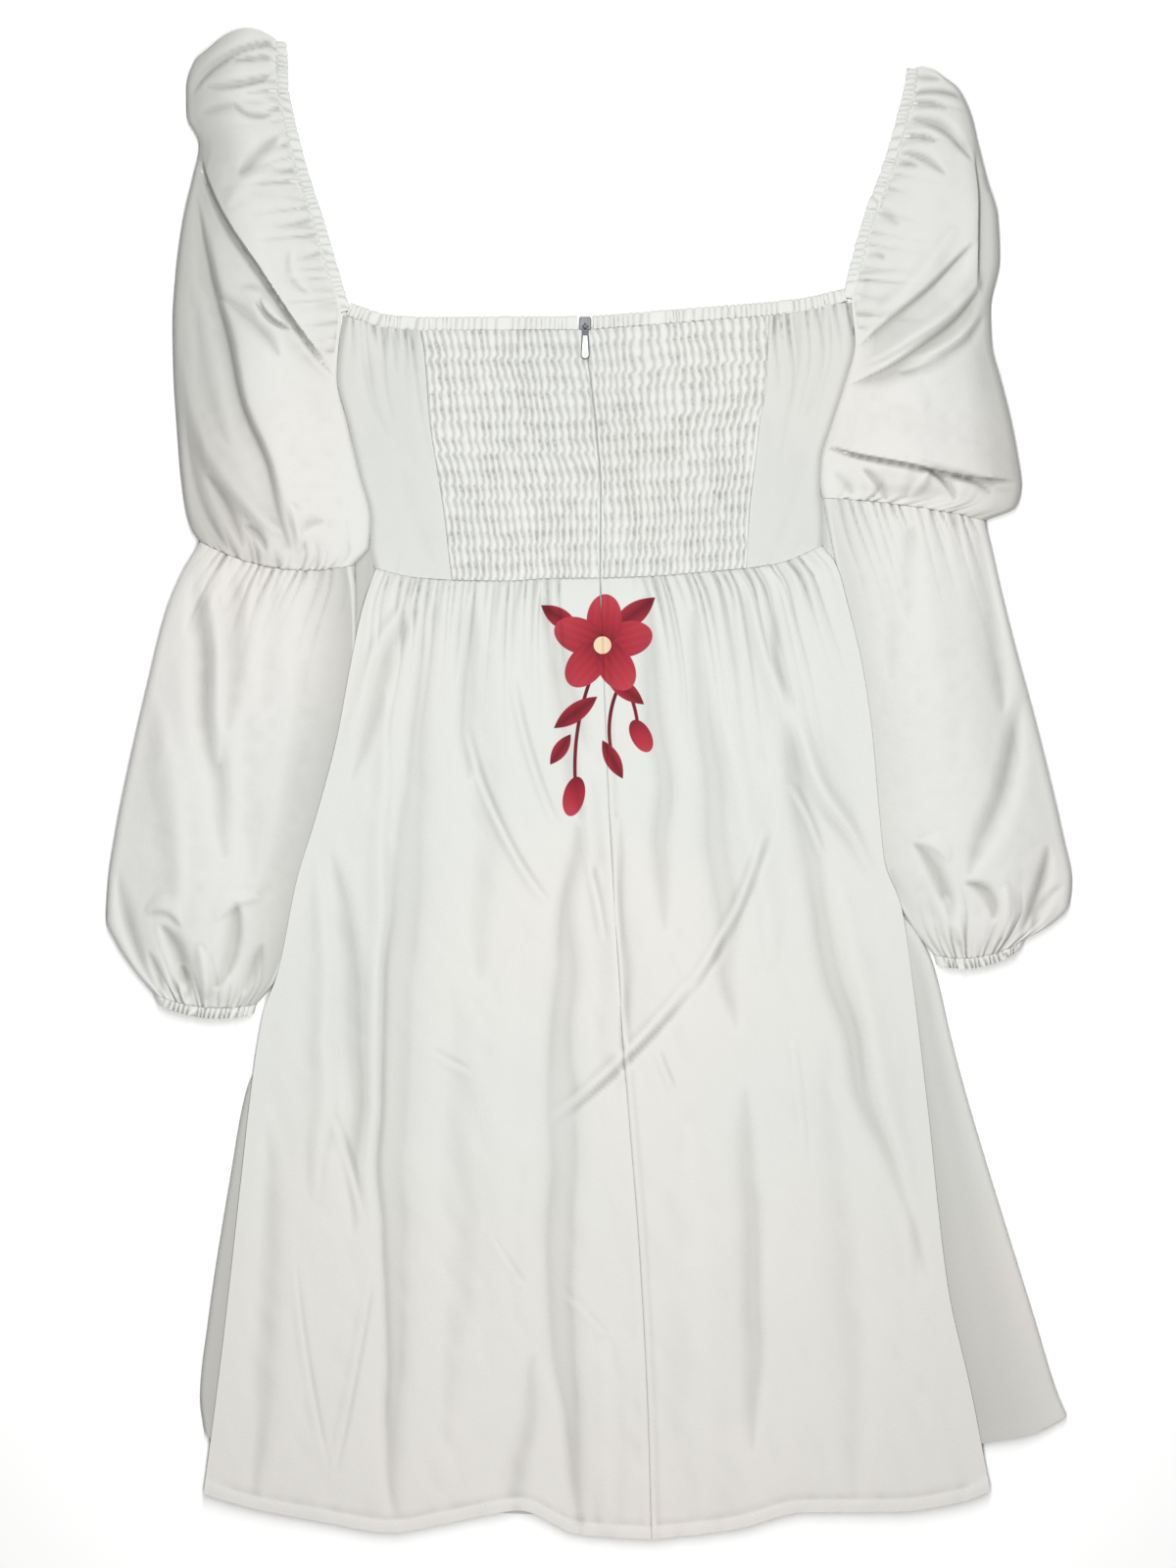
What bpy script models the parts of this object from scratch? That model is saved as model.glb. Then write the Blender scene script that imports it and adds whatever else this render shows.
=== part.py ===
# A babydoll dress laid flat on its front, with its back upwards: square neck, smocked back with a zip,
# puffed sleeves shirred at the elbow and a gathered skirt. Every size is in millimetres, and MM turns it
# into Blender's metres. X runs across the dress, Y up towards the neck, and Z up from the surface below.
import math
from collections import namedtuple

import bmesh
import bpy
import numpy as np

MM = 0.001

# Cloth walls and how the layers lie on each other
CLOTH = 1.3  # thickness of a cloth wall
SEAM = 0.3  # gap between two pieces at a seam
FRONT_TOP = CLOTH  # upper face of the front, which lies on the surface
FRONT_WAIST_EASE = 6.0  # how far above its waist seam the front bodice is drawn level with it
BACK_UNDER = FRONT_TOP + SEAM  # under face of the bodice back
BACK_TOP = BACK_UNDER + CLOTH
SKIRT_LOFT = 7.4  # upper face of the skirt back, away from its folds
FLAP_TOP = 5.0  # upper face of the front skirt where it turns up at its sides
FLAP_BULGE = 2.0  # how much higher it stands where much of it shows
FLAP_WIDE = 40.0  # the width at which it stands so high
SLEEVE_ROUND = 1.6  # over 1, a sleeve's crown falls away sooner towards its edges
EDGE_HOLD = 2.2  # folds reach their height sooner in from its edges the more this is

# Grids: how finely each wall is divided
SLEEVE_TOP = 14  # columns over the top of a sleeve
SLEEVE_UNDER = 7  # columns under it
SLEEVE_TURN = 2  # steps in a quarter turn at its edges
SKIRT_ROWS = 13
SKIRT_ROW_GROWTH = 1.35  # over 1, its rows lie closer near the waist
SKIRT_GATHERS_LEFT = 12
SKIRT_GATHERS_RIGHT = 15
FRONT_ROWS = 12
BODICE_COLUMNS = 6
BODICE_ROWS = 8
SIDE_COLUMNS = 10
SIDE_ROWS = 7
SMOCK_RIBS = 22
SMOCK_COLUMNS = 10

# Shirred cloth
SMOCK_RISE = 1.1  # crest of a rib over its channel
SMOCK_PUCKER = 0.45  # how far a pucker stands over or under its rib
GATHER_RISE = 2.2  # waist gathers
GATHER_RUN = 46.0  # how far they run down the skirt
GATHER_AT_SEAM = 0.35  # share of their height at the waist seam
GATHER_START = 10.0  # how far below it they reach their height
GATHER_UNEVEN = 0.25  # how much they differ in height
GATHER_BEAT = 1.7  # and how fast that changes from one to the next
WAIST_EASE = 18.0  # how far down the skirt reaches its full loft
WAIST_ROUND = 0.7  # under 1, it rises fastest at the seam
FOLD_START = 12.0  # large folds begin this far below the waist
SIDE_FADE = 14.0  # and fade out over this width at the side edges
SIDE_GATHER_RISE = 0.45  # gathers of the bodice sides below the neck band
SIDE_GATHER_RUN = 16.0
SMOCK_SINK = 0.2  # a channel's depth under the plain cloth beside it
BAND_WIDTH = 6.6
BAND_THICK = 2.0
BAND_PITCH = 6.6  # one gather of a neck band
BAND_RISE = 0.45
CASING_WIDTH = 5.6
CASING_THICK = 1.8
CASING_PITCH = 7.0
CASING_TOP = 4.5  # upper face of the casing on the back layer
CASING_GAP = 0.5
TIP_STEPS = 4  # steps of the casing where it turns over the shoulder

# Zip
SLIDER_PLACE = (-2.3, 273.9)
SLIDER_UNDER = 2.2
SLIDER_TOP = 4.4
SLIDER_HALF_WIDTH = 3.7
SLIDER_HALF_LENGTH = 4.0
SLIDER_CORNER = 1.2
PIVOT_BACK = 1.9  # pull tab's axis below the middle of the slider
PIVOT_HEIGHT = 5.4
ARCH_OUTER = 1.7
ARCH_INNER = 0.8
ARCH_HALF_WIDTH = 0.8
ARCH_ROOT = 0.4  # how deep its legs stand in the slider
ARC_STEPS = 8
PIN_RADIUS = 0.45
PIN_HALF_LENGTH = 1.6
TAB_HALF_THICK = 0.5
TAB_ARM_INNER = 1.15
TAB_ARM_OUTER = 2.05
TAB_ARM_END = 0.55
TAB_SLOT = 3.2
TAB_NECK = 4.2
TAB_LENGTH = 19.6
TAB_HALF_WIDTH = 2.65

CLOTH_COLOUR = (0.775, 0.775, 0.745, 1.0)
METAL_COLOUR = (0.42, 0.43, 0.44, 1.0)
ENAMEL_COLOUR = (0.86, 0.86, 0.85, 1.0)


def table(columns, *rows):
    row_type = namedtuple("Row", columns)
    return [row_type(*row) for row in rows]


# Edges of the flat pieces, seen from above. Those at the sides run down the dress, the others to the right.
CENTRE_BACK = table("x y", (-1, 270), (-0.5, 253), (1, 240), (5, 202), (7, 177), (6.6, 122.3))
SMOCK_EDGE_LEFT = table("x y", (-100, 270), (-98, 253), (-95, 215), (-91, 189), (-87, 164), (-82, 121.3))
SMOCK_EDGE_RIGHT = table("x y", (107, 278.6), (106, 240), (102, 215), (99, 189), (96, 164), (94, 128.2))
SIDE_EDGE_LEFT = table(
    "x y",
    (-145.9, 278.6),
    (-149.3, 243),
    (-142.9, 214.7),
    (-136.2, 185.4),
    (-129.4, 157),
    (-128, 142),
    (-126.9, 128.4),
)
SIDE_EDGE_RIGHT = table(
    "x y",
    (156.2, 286),
    (157.8, 262.7),
    (151.4, 238.1),
    (143.8, 214.7),
    (137.4, 192.5),
    (136.8, 176),
    (138.4, 141.8),
)
BAND_LINE_LEFT = table("x y", (-138.5, 280.6), (-121.5, 275.4), (-100, 273.7), (-50, 274), (-6.8, 274.2))
BAND_LINE_RIGHT = table(
    "x y",
    (2.2, 275),
    (25.7, 277),
    (66, 280.2),
    (102, 282.4),
    (124, 284.4),
    (147.6, 289.6),
)
SKIRT_EDGE_LEFT = table(
    "x y",
    (-127, 128),
    (-135, 103),
    (-142, 70),
    (-150, 27),
    (-163, -22),
    (-174, -58),
    (-185, -112),
    (-194, -138),
    (-201, -182),
    (-207, -235),
    (-218, -334),
    (-229.3, -423),
)
SKIRT_EDGE_RIGHT = table(
    "x y",
    (138.5, 141.5),
    (147, 130),
    (154, 106),
    (162, 73),
    (168, 35),
    (173, -20),
    (176, -47),
    (186, -74),
    (192, -114),
    (201, -188),
    (213.5, -299),
    (227.6, -363),
    (238.7, -421.2),
)
CENTRE_SEAM = table("x y", (6.6, 122.3), (11, 0), (21, -164), (30, -281), (35, -377), (37, -450))
WAIST_LEFT = table("x y", (-127, 128), (-105, 122.8), (-82, 121), (-49, 120.5), (-24, 122), (6.6, 122.3))
WAIST_RIGHT = table("x y", (6.6, 122.3), (38, 123.4), (70, 126), (94, 128), (115, 131.6), (138.5, 141.5))
HEM_LEFT = table(
    "x y",
    (-229.3, -423),
    (-198, -432),
    (-162, -439),
    (-117, -446),
    (-83, -440),
    (-41, -433),
    (-6, -447),
    (37, -450),
)
HEM_RIGHT = table("x y", (37, -450), (84, -444.6), (128, -434), (183, -433.5), (222, -427.6), (238.7, -421.2))

# The front skirt at heights down the dress: where it turns up at each side, and where that cloth ends
FRONT_OUTLINE = table(
    "y left right tuck_left tuck_right",
    (122, -137.2, 147.4, -130.6, 141),
    (112, -137.9, 149.2, -132, 142),
    (100, -137.9, 151.4, -129.5, 143),
    (70, -137.6, 155.6, -126, 148),
    (27, -145.5, 163.8, -134, 157),
    (-22, -158, 167.6, -146, 161),
    (-58, -168.4, 172.4, -156, 166),
    (-84, -175, 183.6, -163, 177),
    (-106, -181, 201.4, -169, 184),
    (-134, -190, 211.5, -178, 189),
    (-164, -204, 220.6, -186, 192.5),
    (-217, -213.5, 236.9, -193, 198.5),
    (-310, -226.8, 265, -204, 209.5),
    (-361, -231.7, 278.9, -210, 221.5),
    (-378, -229, 284.8, -213, 225),
)
FRONT_HEM = table(
    "x y",
    (-232, -384),
    (-200, -412),
    (-100, -433),
    (0, -437),
    (100, -428),
    (200, -402),
    (240, -392),
    (262, -388),
    (287, -376),
)

# Large folds: a line from its upper end to its lower end, how far it bows towards +X, how far it spreads to
# -X (west) and to +X (east), and how high it stands, or how deep where that is below zero
FOLD_COLUMNS = "x0 y0 x1 y1 bow west east height"
SKIRT_FOLDS = table(
    FOLD_COLUMNS,
    (-92, 96, -115, -440, -14, 9, 13, -3.0),
    (-24, 108, -7, -60, 2, 7, 9, -2.6),
    (-10, -20, -2, -450, -12, 9, 12, -3.0),
    (32, 118, 50, -90, 3, 8, 8, -2.4),
    (60, 100, 86, -150, 3, 8, 9, -2.6),
    (90, -200, 98, -400, 0, 10, 10, -1.6),
    (97, 116, 150, -20, -5, 7, 7, 1.9),
    (150, -20, 188, -250, 4, 9, 9, 1.3),
    (118, 96, 150, -60, 3, 6, 6, -1.6),
    (-150, -60, -142, -290, 8, 9, 9, -1.7),
    (-104, 112, -152, -40, -3, 8, 8, 1.5),
    (-60, 100, -64, -120, 0, 10, 10, -1.5),
    (108, -20, -24, -204, -15, 3.4, 3.4, 1.2),
    (-160, -300, -150, -430, 0, 8, 8, -1.4),
)
SLEEVE_FOLDS_UPPER_LEFT = table(
    FOLD_COLUMNS,
    (-229, 374, -154, 247, -8, 11, 3, -4.2),
    (-232, 352, -177, 142, -5, 7, 4, -3.6),
    (-236, 290, -214, 200, -4, 7, 6, -2.4),
    (-241, 262, -185, 152, -14, 6, 6, 2.4),
    (-240, 222, -226, 154, -4, 5, 5, -2.2),
    (-220, 290, -186, 254, 3, 5, 5, -1.8),
    (-226, 428, -187, 438, 0, 5, 4, 1.2),
    (-226, 404, -187, 420, 0, 5, 4, -1.6),
)
SLEEVE_FOLDS_UPPER_RIGHT = table(
    FOLD_COLUMNS,
    (229, 322, 160, 261, 5, 3.5, 9, -3.2),
    (232, 292, 161, 240, 8, 4, 8, -3.4),
    (234, 280, 184, 243, 9, 4, 5, -1.8),
    (231, 378, 230, 296, -2, 4, 8, -2.6),
    (250, 184, 140, 204.5, 4, 2.5, 9, -3.0),
    (196, 191, 184, 172, -4, 5, 5, 1.6),
    (192, 394, 224, 376, 4, 4, 4, -1.6),
    (188, 378, 214, 362, 3, 4, 4, -1.6),
)
SLEEVE_FOLDS_LOWER_LEFT = table(
    FOLD_COLUMNS,
    (-233, 118, -214, -46, -3, 9, 9, -2.4),
    (-211, 116, -214, 30, 3, 8, 8, -1.8),
    (-263, 60, -236, -90, 6, 9, 9, 1.6),
    (-282, -52, -262, -116, -4, 5, 5, -2.2),
    (-254, -78, -240, -116, 3, 4, 6, -2.0),
    (-208, -74, -216, -112, 3, 6, 4, -2.0),
    (-176, 80, -196, -60, 4, 9, 9, 1.4),
)
SLEEVE_FOLDS_LOWER_RIGHT = table(
    FOLD_COLUMNS,
    (259, 50, 228, -52, 4, 8, 8, -2.4),
    (232, 140, 252, 20, 4, 8, 8, 1.6),
    (192, 140, 200, 20, 0, 9, 9, -1.4),
    (192, -38, 214, -84, 4, 5, 5, -2.2),
    (272, -40, 260, -88, 3, 5, 5, -2.2),
    (236, -56, 232, -82, 0, 5, 5, -1.8),
)

# Sleeves, a row for each section from its upper end: where its inner and outer edges lie, how far its middle
# hangs below the line between them, the height at each edge, the rise between them, how far open it is on
# the neck side, and the height of its gathers
RING_COLUMNS = "in_x in_y out_x out_y sag in_high out_high crown open gather"
UPPER_LEFT = table(
    RING_COLUMNS,
    (-186.0, 442.4, -226.4, 438.2, -9.2, 4.2, 3.6, 0, 1, 0),
    (-185.3, 433.0, -235.2, 430.4, -5, 4.2, 5.4, 2.5, 1, 0),
    (-184.9, 417.0, -239.8, 414.8, 0, 4.2, 7, 5, 1, 0),
    (-181.9, 399.0, -239.6, 398.0, 0, 4.2, 7, 6, 1, 0),
    (-177.3, 379.7, -232.2, 379.7, 0, 4.2, 7, 7, 1, 0),
    (-172.6, 362.1, -235.8, 362.0, 0, 4.2, 8, 8, 1, 0),
    (-164.4, 337.0, -241.6, 335.8, 0, 4.2, 9, 9, 1, 0),
    (-155.5, 307.0, -245.7, 303.6, 0, 4.2, 10, 10, 1, 0),
    (-147.8, 280.6, -247.5, 274.4, 0, 4.2, 10, 11, 1, 0),
    (-150.6, 243.2, -246.9, 243.0, 0, 5.0, 10, 12, 0.7, 0),
    (-143.9, 214.7, -245.1, 214.0, 0, 8, 10, 12, 0, 0),
    (-136.9, 185.4, -242.8, 184.0, 0, 9, 10, 11, 0, 0),
    (-130.1, 157.0, -239.8, 162.0, 3, 9, 10, 8, 0, 0.5),
    (-131.2, 141.0, -236.2, 149.8, 7, 9, 9, 4, 0, 0.9),
    (-140.4, 129.6, -231.7, 143.9, 9, 9, 9, 0, 0, 1.2),
)
UPPER_RIGHT = table(
    RING_COLUMNS,
    (194.8, 426.5, 208.8, 423.0, -1.5, 4.2, 3.6, 0, 1, 0),
    (193.6, 414.8, 220.5, 413.6, 0, 4.2, 5.4, 2, 1, 0),
    (189.5, 398.4, 228.1, 397.2, 0, 4.2, 7, 4, 1, 0),
    (184.9, 381.4, 232.2, 379.7, 0, 4.2, 8, 6, 1, 0),
    (178.4, 360.9, 237.5, 358.6, 0, 4.2, 9, 8, 1, 0),
    (170.8, 341.1, 243.4, 337.5, 0, 4.2, 10, 9, 1, 0),
    (162.6, 314.1, 244.5, 312.0, 0, 4.2, 10, 10, 1, 0),
    (156.6, 288.6, 239.0, 283.0, 0, 4.2, 10, 11, 1, 0),
    (158.6, 262.7, 239.8, 262.0, 0, 5.0, 10, 12, 0.7, 0),
    (152.1, 238.1, 245.1, 240.4, 0, 8, 10, 12, 0, 0),
    (144.5, 214.7, 251.0, 217.0, 0, 9, 10, 12, 0, 0),
    (138.1, 192.5, 255.6, 192.5, 0, 9, 10, 11, 0, 0.4),
    (137.5, 179.6, 257.5, 176.7, 0, 9, 10, 7, 0, 0.8),
    (138.1, 173.6, 254.5, 164.6, -2, 9, 9, 3, 0, 1.0),
    (139.2, 169.6, 235.8, 156.2, -2.3, 9, 9, 0, 0, 1.2),
)
LOWER_LEFT = table(
    RING_COLUMNS,
    (-139.9, 127.0, -231.8, 142.6, 9.9, 9, 9, 0, 0, 1.2),
    (-138.8, 112.0, -242.2, 126.4, 6, 7, 9, 4, 0, 0.9),
    (-138.8, 87.2, -252.1, 102.4, 2, 5, 9, 9, 0, 0.4),
    (-142.2, 49.1, -263.8, 55.0, 0, 4.8, 10, 12, 0, 0),
    (-150.9, 8.2, -273.8, 11.1, 0, 4.8, 10, 13, 0, 0),
    (-159.7, -29.8, -281.4, -26.9, 0, 4.8, 10, 13, 0, 0),
    (-168.5, -62.0, -286.1, -59.1, 0, 4.8, 10, 12, 0, 0),
    (-174.5, -85.4, -287.2, -81.3, 0, 5, 10, 11, 0, 0.3),
    (-179.8, -101.0, -281.4, -95.4, 2, 6, 10, 9, 0, 0.6),
    (-186.5, -117.6, -270.9, -111.7, 4, 7, 9, 6, 0, 0.9),
    (-197.8, -131.4, -259.7, -125.2, 5, 8.4, 8.4, 0, 0, 1.1),
)
LOWER_RIGHT = table(
    RING_COLUMNS,
    (139.2, 168.6, 235.8, 155.2, -2.3, 9, 9, 0, 0, 1.2),
    (143.3, 148.6, 239.3, 142.2, -1, 7, 9, 4, 0, 0.9),
    (148.4, 122.3, 245.1, 116.4, 0, 5, 9, 9, 0, 0.4),
    (154.4, 87.2, 254.5, 78.4, 0, 4.8, 10, 12, 0, 0),
    (161.5, 49.1, 264.4, 42.1, 0, 4.8, 10, 13, 0, 0),
    (166.1, 8.2, 274.4, 2.3, 0, 4.8, 10, 13, 0, 0),
    (168.5, -26.9, 282.0, -31.0, 0, 4.8, 10, 12, 0, 0),
    (173.0, -53.2, 287.2, -57.9, 0, 5, 10, 11, 0, 0.3),
    (184.6, -73.0, 285.5, -73.1, 2, 6, 10, 8, 0, 0.6),
    (194.3, -88.3, 274.4, -84.8, 4, 7, 9, 5, 0, 0.9),
    (205.0, -102.0, 260.3, -92.4, 6, 8.4, 8.4, 0, 0, 1.1),
)
CUFF_LEFT = table(
    RING_COLUMNS,
    (-198.2, -132.1, -259.3, -126.0, 5, 8.4, 8.4, 0, 0, 0.5),
    (-199.6, -137.4, -256.6, -131.4, 5.4, 8.8, 8.8, 0, 0, 1.1),
)
CUFF_RIGHT = table(
    RING_COLUMNS,
    (205.4, -102.7, 259.6, -93.2, 6, 8.4, 8.4, 0, 0, 0.5),
    (206.8, -108.0, 257.0, -98.6, 6.4, 8.8, 8.8, 0, 0, 1.1),
)
NECK_ROWS_LEFT = 9  # sections of an upper sleeve along the neck, whose inner edges carry the casing
NECK_ROWS_RIGHT = 8
CASING_STOP = 3.4  # the casing's straight runs end this far below the shoulder's tip


def smooth(knots, values, at):
    # A smooth curve through the knots that never overshoots them
    knots, values = np.asarray(knots, float), np.asarray(values, float)
    steps = np.diff(knots)
    slopes = np.diff(values) / steps
    tangents = np.concatenate([slopes[:1], np.zeros(len(knots) - 2), slopes[-1:]])
    same_way = slopes[:-1] * slopes[1:] > 0
    means = 2 * slopes[:-1] * slopes[1:] / np.where(same_way, slopes[:-1] + slopes[1:], 1)
    tangents[1:-1] = np.where(same_way, means, 0)
    span = np.clip(np.searchsorted(knots, at, side="right") - 1, 0, len(steps) - 1)
    f = (np.asarray(at, float) - knots[span]) / steps[span]
    start, end = values[span], values[span + 1]
    lean = ((1 - f) * tangents[span] - f * tangents[span + 1]) * steps[span]
    ease = f * f * (3 - 2 * f)
    return start + (end - start) * ease + f * (1 - f) * lean


def along(points, fractions):
    # Places at these fractions of the length of a smooth line through the points
    places = np.array([(point.x, point.y) for point in points], float)
    run = np.concatenate([[0], np.cumsum(np.hypot(*np.diff(places, axis=0).T))])
    return np.stack([smooth(run / run[-1], places[:, axis], fractions) for axis in (0, 1)], axis=-1)


def patch(top, bottom, left, right, across, down):
    # Places between four edges, in rows from the top one to the bottom one
    upper, lower = along(top, across), along(bottom, across)
    west, east = along(left, down), along(right, down)
    d, s = down[:, None], across[None, :, None]
    west = west + (upper[0] - west[0]) * (1 - d) + (lower[0] - west[-1]) * d
    east = east + (upper[-1] - east[0]) * (1 - d) + (lower[-1] - east[-1]) * d
    d = down[:, None, None]
    corners = (upper[0] * (1 - s) + upper[-1] * s) * (1 - d) + (lower[0] * (1 - s) + lower[-1] * s) * d
    return upper * (1 - d) + lower * d + west[:, None] * (1 - s) + east[:, None] * s - corners


def inset(places, top=0.0, bottom=0.0, left=0.0, right=0.0):
    # Draws the rim of a patch in, to leave room at its seams
    places = places.copy()
    places[0, :, 1] -= top
    places[-1, :, 1] += bottom
    places[:, 0, 0] += left
    places[:, -1, 0] -= right
    return places


def fold_height(folds, x, y):
    height = np.zeros(np.shape(x))
    for fold in folds:
        run_x, run_y = fold.x1 - fold.x0, fold.y1 - fold.y0
        length = math.hypot(run_x, run_y)
        part = ((x - fold.x0) * run_x + (y - fold.y0) * run_y) / length**2
        side = ((y - fold.y0) * run_x - (x - fold.x0) * run_y) / length
        side = side - 4 * fold.bow * part * (1 - part)
        ends = np.clip(1 - (2 * part - 1) ** 4, 0, 1)
        spread = np.where(side > 0, fold.east, fold.west)
        height = height + fold.height * ends * np.exp(-((side / spread) ** 2))
    return height


def finish(name, colour, roughness, metallic=0.0):
    material = bpy.data.materials.new(name)
    material.use_nodes = True
    shader = material.node_tree.nodes["Principled BSDF"]
    shader.inputs["Base Color"].default_value = colour
    shader.inputs["Roughness"].default_value = roughness
    shader.inputs["Metallic"].default_value = metallic
    material.diffuse_color = colour
    return material


def add_object(name, bm, material, place=(0, 0, 0)):
    bmesh.ops.recalc_face_normals(bm, faces=bm.faces)
    mesh = bpy.data.meshes.new(name)
    bm.to_mesh(mesh)
    bm.free()
    mesh.materials.append(material)
    mesh.shade_smooth()
    mesh.set_sharp_from_angle(angle=math.radians(50))
    piece = bpy.data.objects.new(name, mesh)
    piece.location = [value * MM for value in place]
    bpy.context.scene.collection.objects.link(piece)
    return piece


def add_points(bm, places):
    return [[bm.verts.new([value * MM for value in place]) for place in row] for row in places]


def cover(bm, points):
    for upper, lower in zip(points, points[1:]):
        for j in range(len(upper) - 1):
            bm.faces.new((upper[j], lower[j], lower[j + 1], upper[j + 1]))


def cap_tip(bm, ring):
    # Joins the upper and under layers of a sleeve where it folds over the shoulder
    low = high = 2 * SLEEVE_TURN + SLEEVE_UNDER
    ratio = SLEEVE_TOP // SLEEVE_UNDER
    for step in range(low):
        steps = ratio if SLEEVE_TURN <= step < SLEEVE_TURN + SLEEVE_UNDER else 1
        corners = [ring[low], ring[low - 1]] + [ring[high + k] for k in range(steps, -1, -1)]
        bm.faces.new(corners[:-1] if corners[0] is corners[-1] else corners)
        low, high = low - 1, high + steps


def wall(name, outer, inner, material, closed_tip=False):
    # A wall of cloth between two grids of places, with its rim
    bm = bmesh.new()
    outside, inside = add_points(bm, outer), add_points(bm, inner)
    cover(bm, outside)
    cover(bm, inside)
    rows, columns = len(outer), len(outer[0])
    rim = [(rows - 1, j) for j in range(columns)] + [(i, columns - 1) for i in range(rows - 2, -1, -1)]
    first_row = [] if closed_tip else [(0, j) for j in range(columns - 2, 0, -1)]
    rim += first_row + [(i, 0) for i in range(rows - 1)]
    for (i, j), (k, m) in zip(rim, rim[1:] + rim[:1]):
        bm.faces.new((outside[i][j], outside[k][m], inside[k][m], inside[i][j]))
    if closed_tip:
        cap_tip(bm, outside[0])
        cap_tip(bm, inside[0])
    return add_object(name, bm, material)


def flat_under(name, outer, under, material):
    # A raised upper face over a plain flat one
    bm = bmesh.new()
    outside = add_points(bm, outer)
    cover(bm, outside)
    rows, columns = len(outer), len(outer[0])
    rim = [(rows - 1, j) for j in range(columns)] + [(i, columns - 1) for i in range(rows - 2, -1, -1)]
    rim += [(0, j) for j in range(columns - 2, -1, -1)] + [(i, 0) for i in range(1, rows - 1)]
    beneath = [bm.verts.new((outer[i][j][0] * MM, outer[i][j][1] * MM, under * MM)) for i, j in rim]
    for k, (i, j) in enumerate(rim):
        after = (k + 1) % len(rim)
        m, n = rim[after]
        bm.faces.new((outside[i][j], outside[m][n], beneath[after], beneath[k]))
    bm.faces.new(beneath)
    return add_object(name, bm, material)


def sheet_wall(name, places, height, material):
    # A wall whose upper face stands at a height over each place, with the same thickness all over
    outer = np.concatenate([places, height[..., None]], axis=-1)
    inner = outer - (0, 0, CLOTH)
    return wall(name, outer, inner, material)


def ring_profile(row, width):
    # One section of a sleeve as (distance from its inner edge, height), from the seam at that edge, along
    # the underside, round the outer edge and back over the top
    near, far = row.in_high / 2, row.out_high / 2
    slit = math.asin(SEAM / 2 / near)
    turn = np.linspace(0, 1, SLEEVE_TURN + 1)[:-1]
    low = slit + (math.pi / 2 - slit) * turn
    under = np.linspace(near, width - far, SLEEVE_UNDER + 1)[:-1]
    half = np.linspace(-math.pi / 2, math.pi / 2, 2 * SLEEVE_TURN + 1)[:-1]
    over = np.linspace(width - far, near, SLEEVE_TOP + 1)
    high = math.pi / 2 - (math.pi / 2 - slit) * np.linspace(0, 1, SLEEVE_TURN + 1)[1:]
    part = (over - near) / (width - far - near)
    bulge = row.crown * np.sin(math.pi * np.clip(part, 0, 1)) ** SLEEVE_ROUND
    arch = 2 * near + 2 * (far - near) * part + bulge
    outer_edge = width - far + far * np.cos(half)
    distance = np.concatenate([near * (1 - np.cos(low)), under, outer_edge, over, near * (1 - np.cos(high))])
    lower_turn = near * (1 - np.sin(low)) * (1 - row.open)
    upper_turn = near * (1 + np.sin(high)) * (1 - row.open) + row.in_high * row.open
    height = np.concatenate([lower_turn, np.zeros(SLEEVE_UNDER), far * (1 + np.sin(half)), arch, upper_turn])
    return distance, height


def ring_places(row, folds):
    across = np.array((row.out_x - row.in_x, row.out_y - row.in_y))
    width = math.hypot(*across)
    distance, height = ring_profile(row, width)
    part = distance / width
    x = row.in_x + across[0] * part
    y = row.in_y + across[1] * part - row.sag * 4 * part * (1 - part)
    first = 3 * SLEEVE_TURN + SLEEVE_UNDER
    top = slice(first, first + SLEEVE_TOP + 1)
    hold = np.clip(EDGE_HOLD * np.sin(math.pi * part[top]), 0, 1)
    gathers = row.gather * np.cos(math.pi * np.arange(SLEEVE_TOP + 1))
    height[top] += hold * (fold_height(folds, x[top], y[top]) + gathers)
    return np.stack([x, y, height], axis=-1)


def sleeve(name, rows, folds, material, closed_tip=False):
    outer = np.array([ring_places(row, folds) for row in rows])
    normal = np.cross(np.gradient(outer, axis=1), np.gradient(outer, axis=0))
    for i, row in ((0, rows[0]), (-1, rows[-1])):
        # The ends of the wall stay square to it
        across = np.array((row.out_y - row.in_y, row.in_x - row.out_x, 0.0))
        across /= np.linalg.norm(across)
        normal[i] -= np.outer(normal[i] @ across, across)
    normal /= np.linalg.norm(normal, axis=-1, keepdims=True)
    middle = 3 * SLEEVE_TURN + SLEEVE_UNDER + SLEEVE_TOP // 2
    normal *= np.sign(normal[:, middle : middle + 1, 2:])
    inner = outer - normal * CLOTH
    if closed_tip:
        inner[0] -= (0, CLOTH, 0)
    return wall(name, outer, inner, material, closed_tip)


def ribbon(name, path, sideways, upwards, width, thick, ridges, material):
    # A flat strip along a path, whose upper face has ridges across it
    half = sideways * width / 2
    rise = upwards * thick / 2
    crest = upwards * ridges[:, None]
    under, over = path - rise, path + rise + crest
    corners = np.stack([under - half, under + half, over + half, over - half], axis=1)
    bm = bmesh.new()
    rings = add_points(bm, corners)
    for before, after in zip(rings, rings[1:]):
        for k in range(4):
            bm.faces.new((before[k], before[(k + 1) % 4], after[(k + 1) % 4], after[k]))
    bm.faces.new(rings[0])
    bm.faces.new(rings[-1])
    return add_object(name, bm, material)


def across_path(path):
    # Level directions to the right of a path
    run = np.gradient(path, axis=0)
    sideways = np.stack([run[:, 1], -run[:, 0], np.zeros(len(run))], axis=-1)
    return sideways / np.linalg.norm(sideways, axis=-1, keepdims=True)


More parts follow.
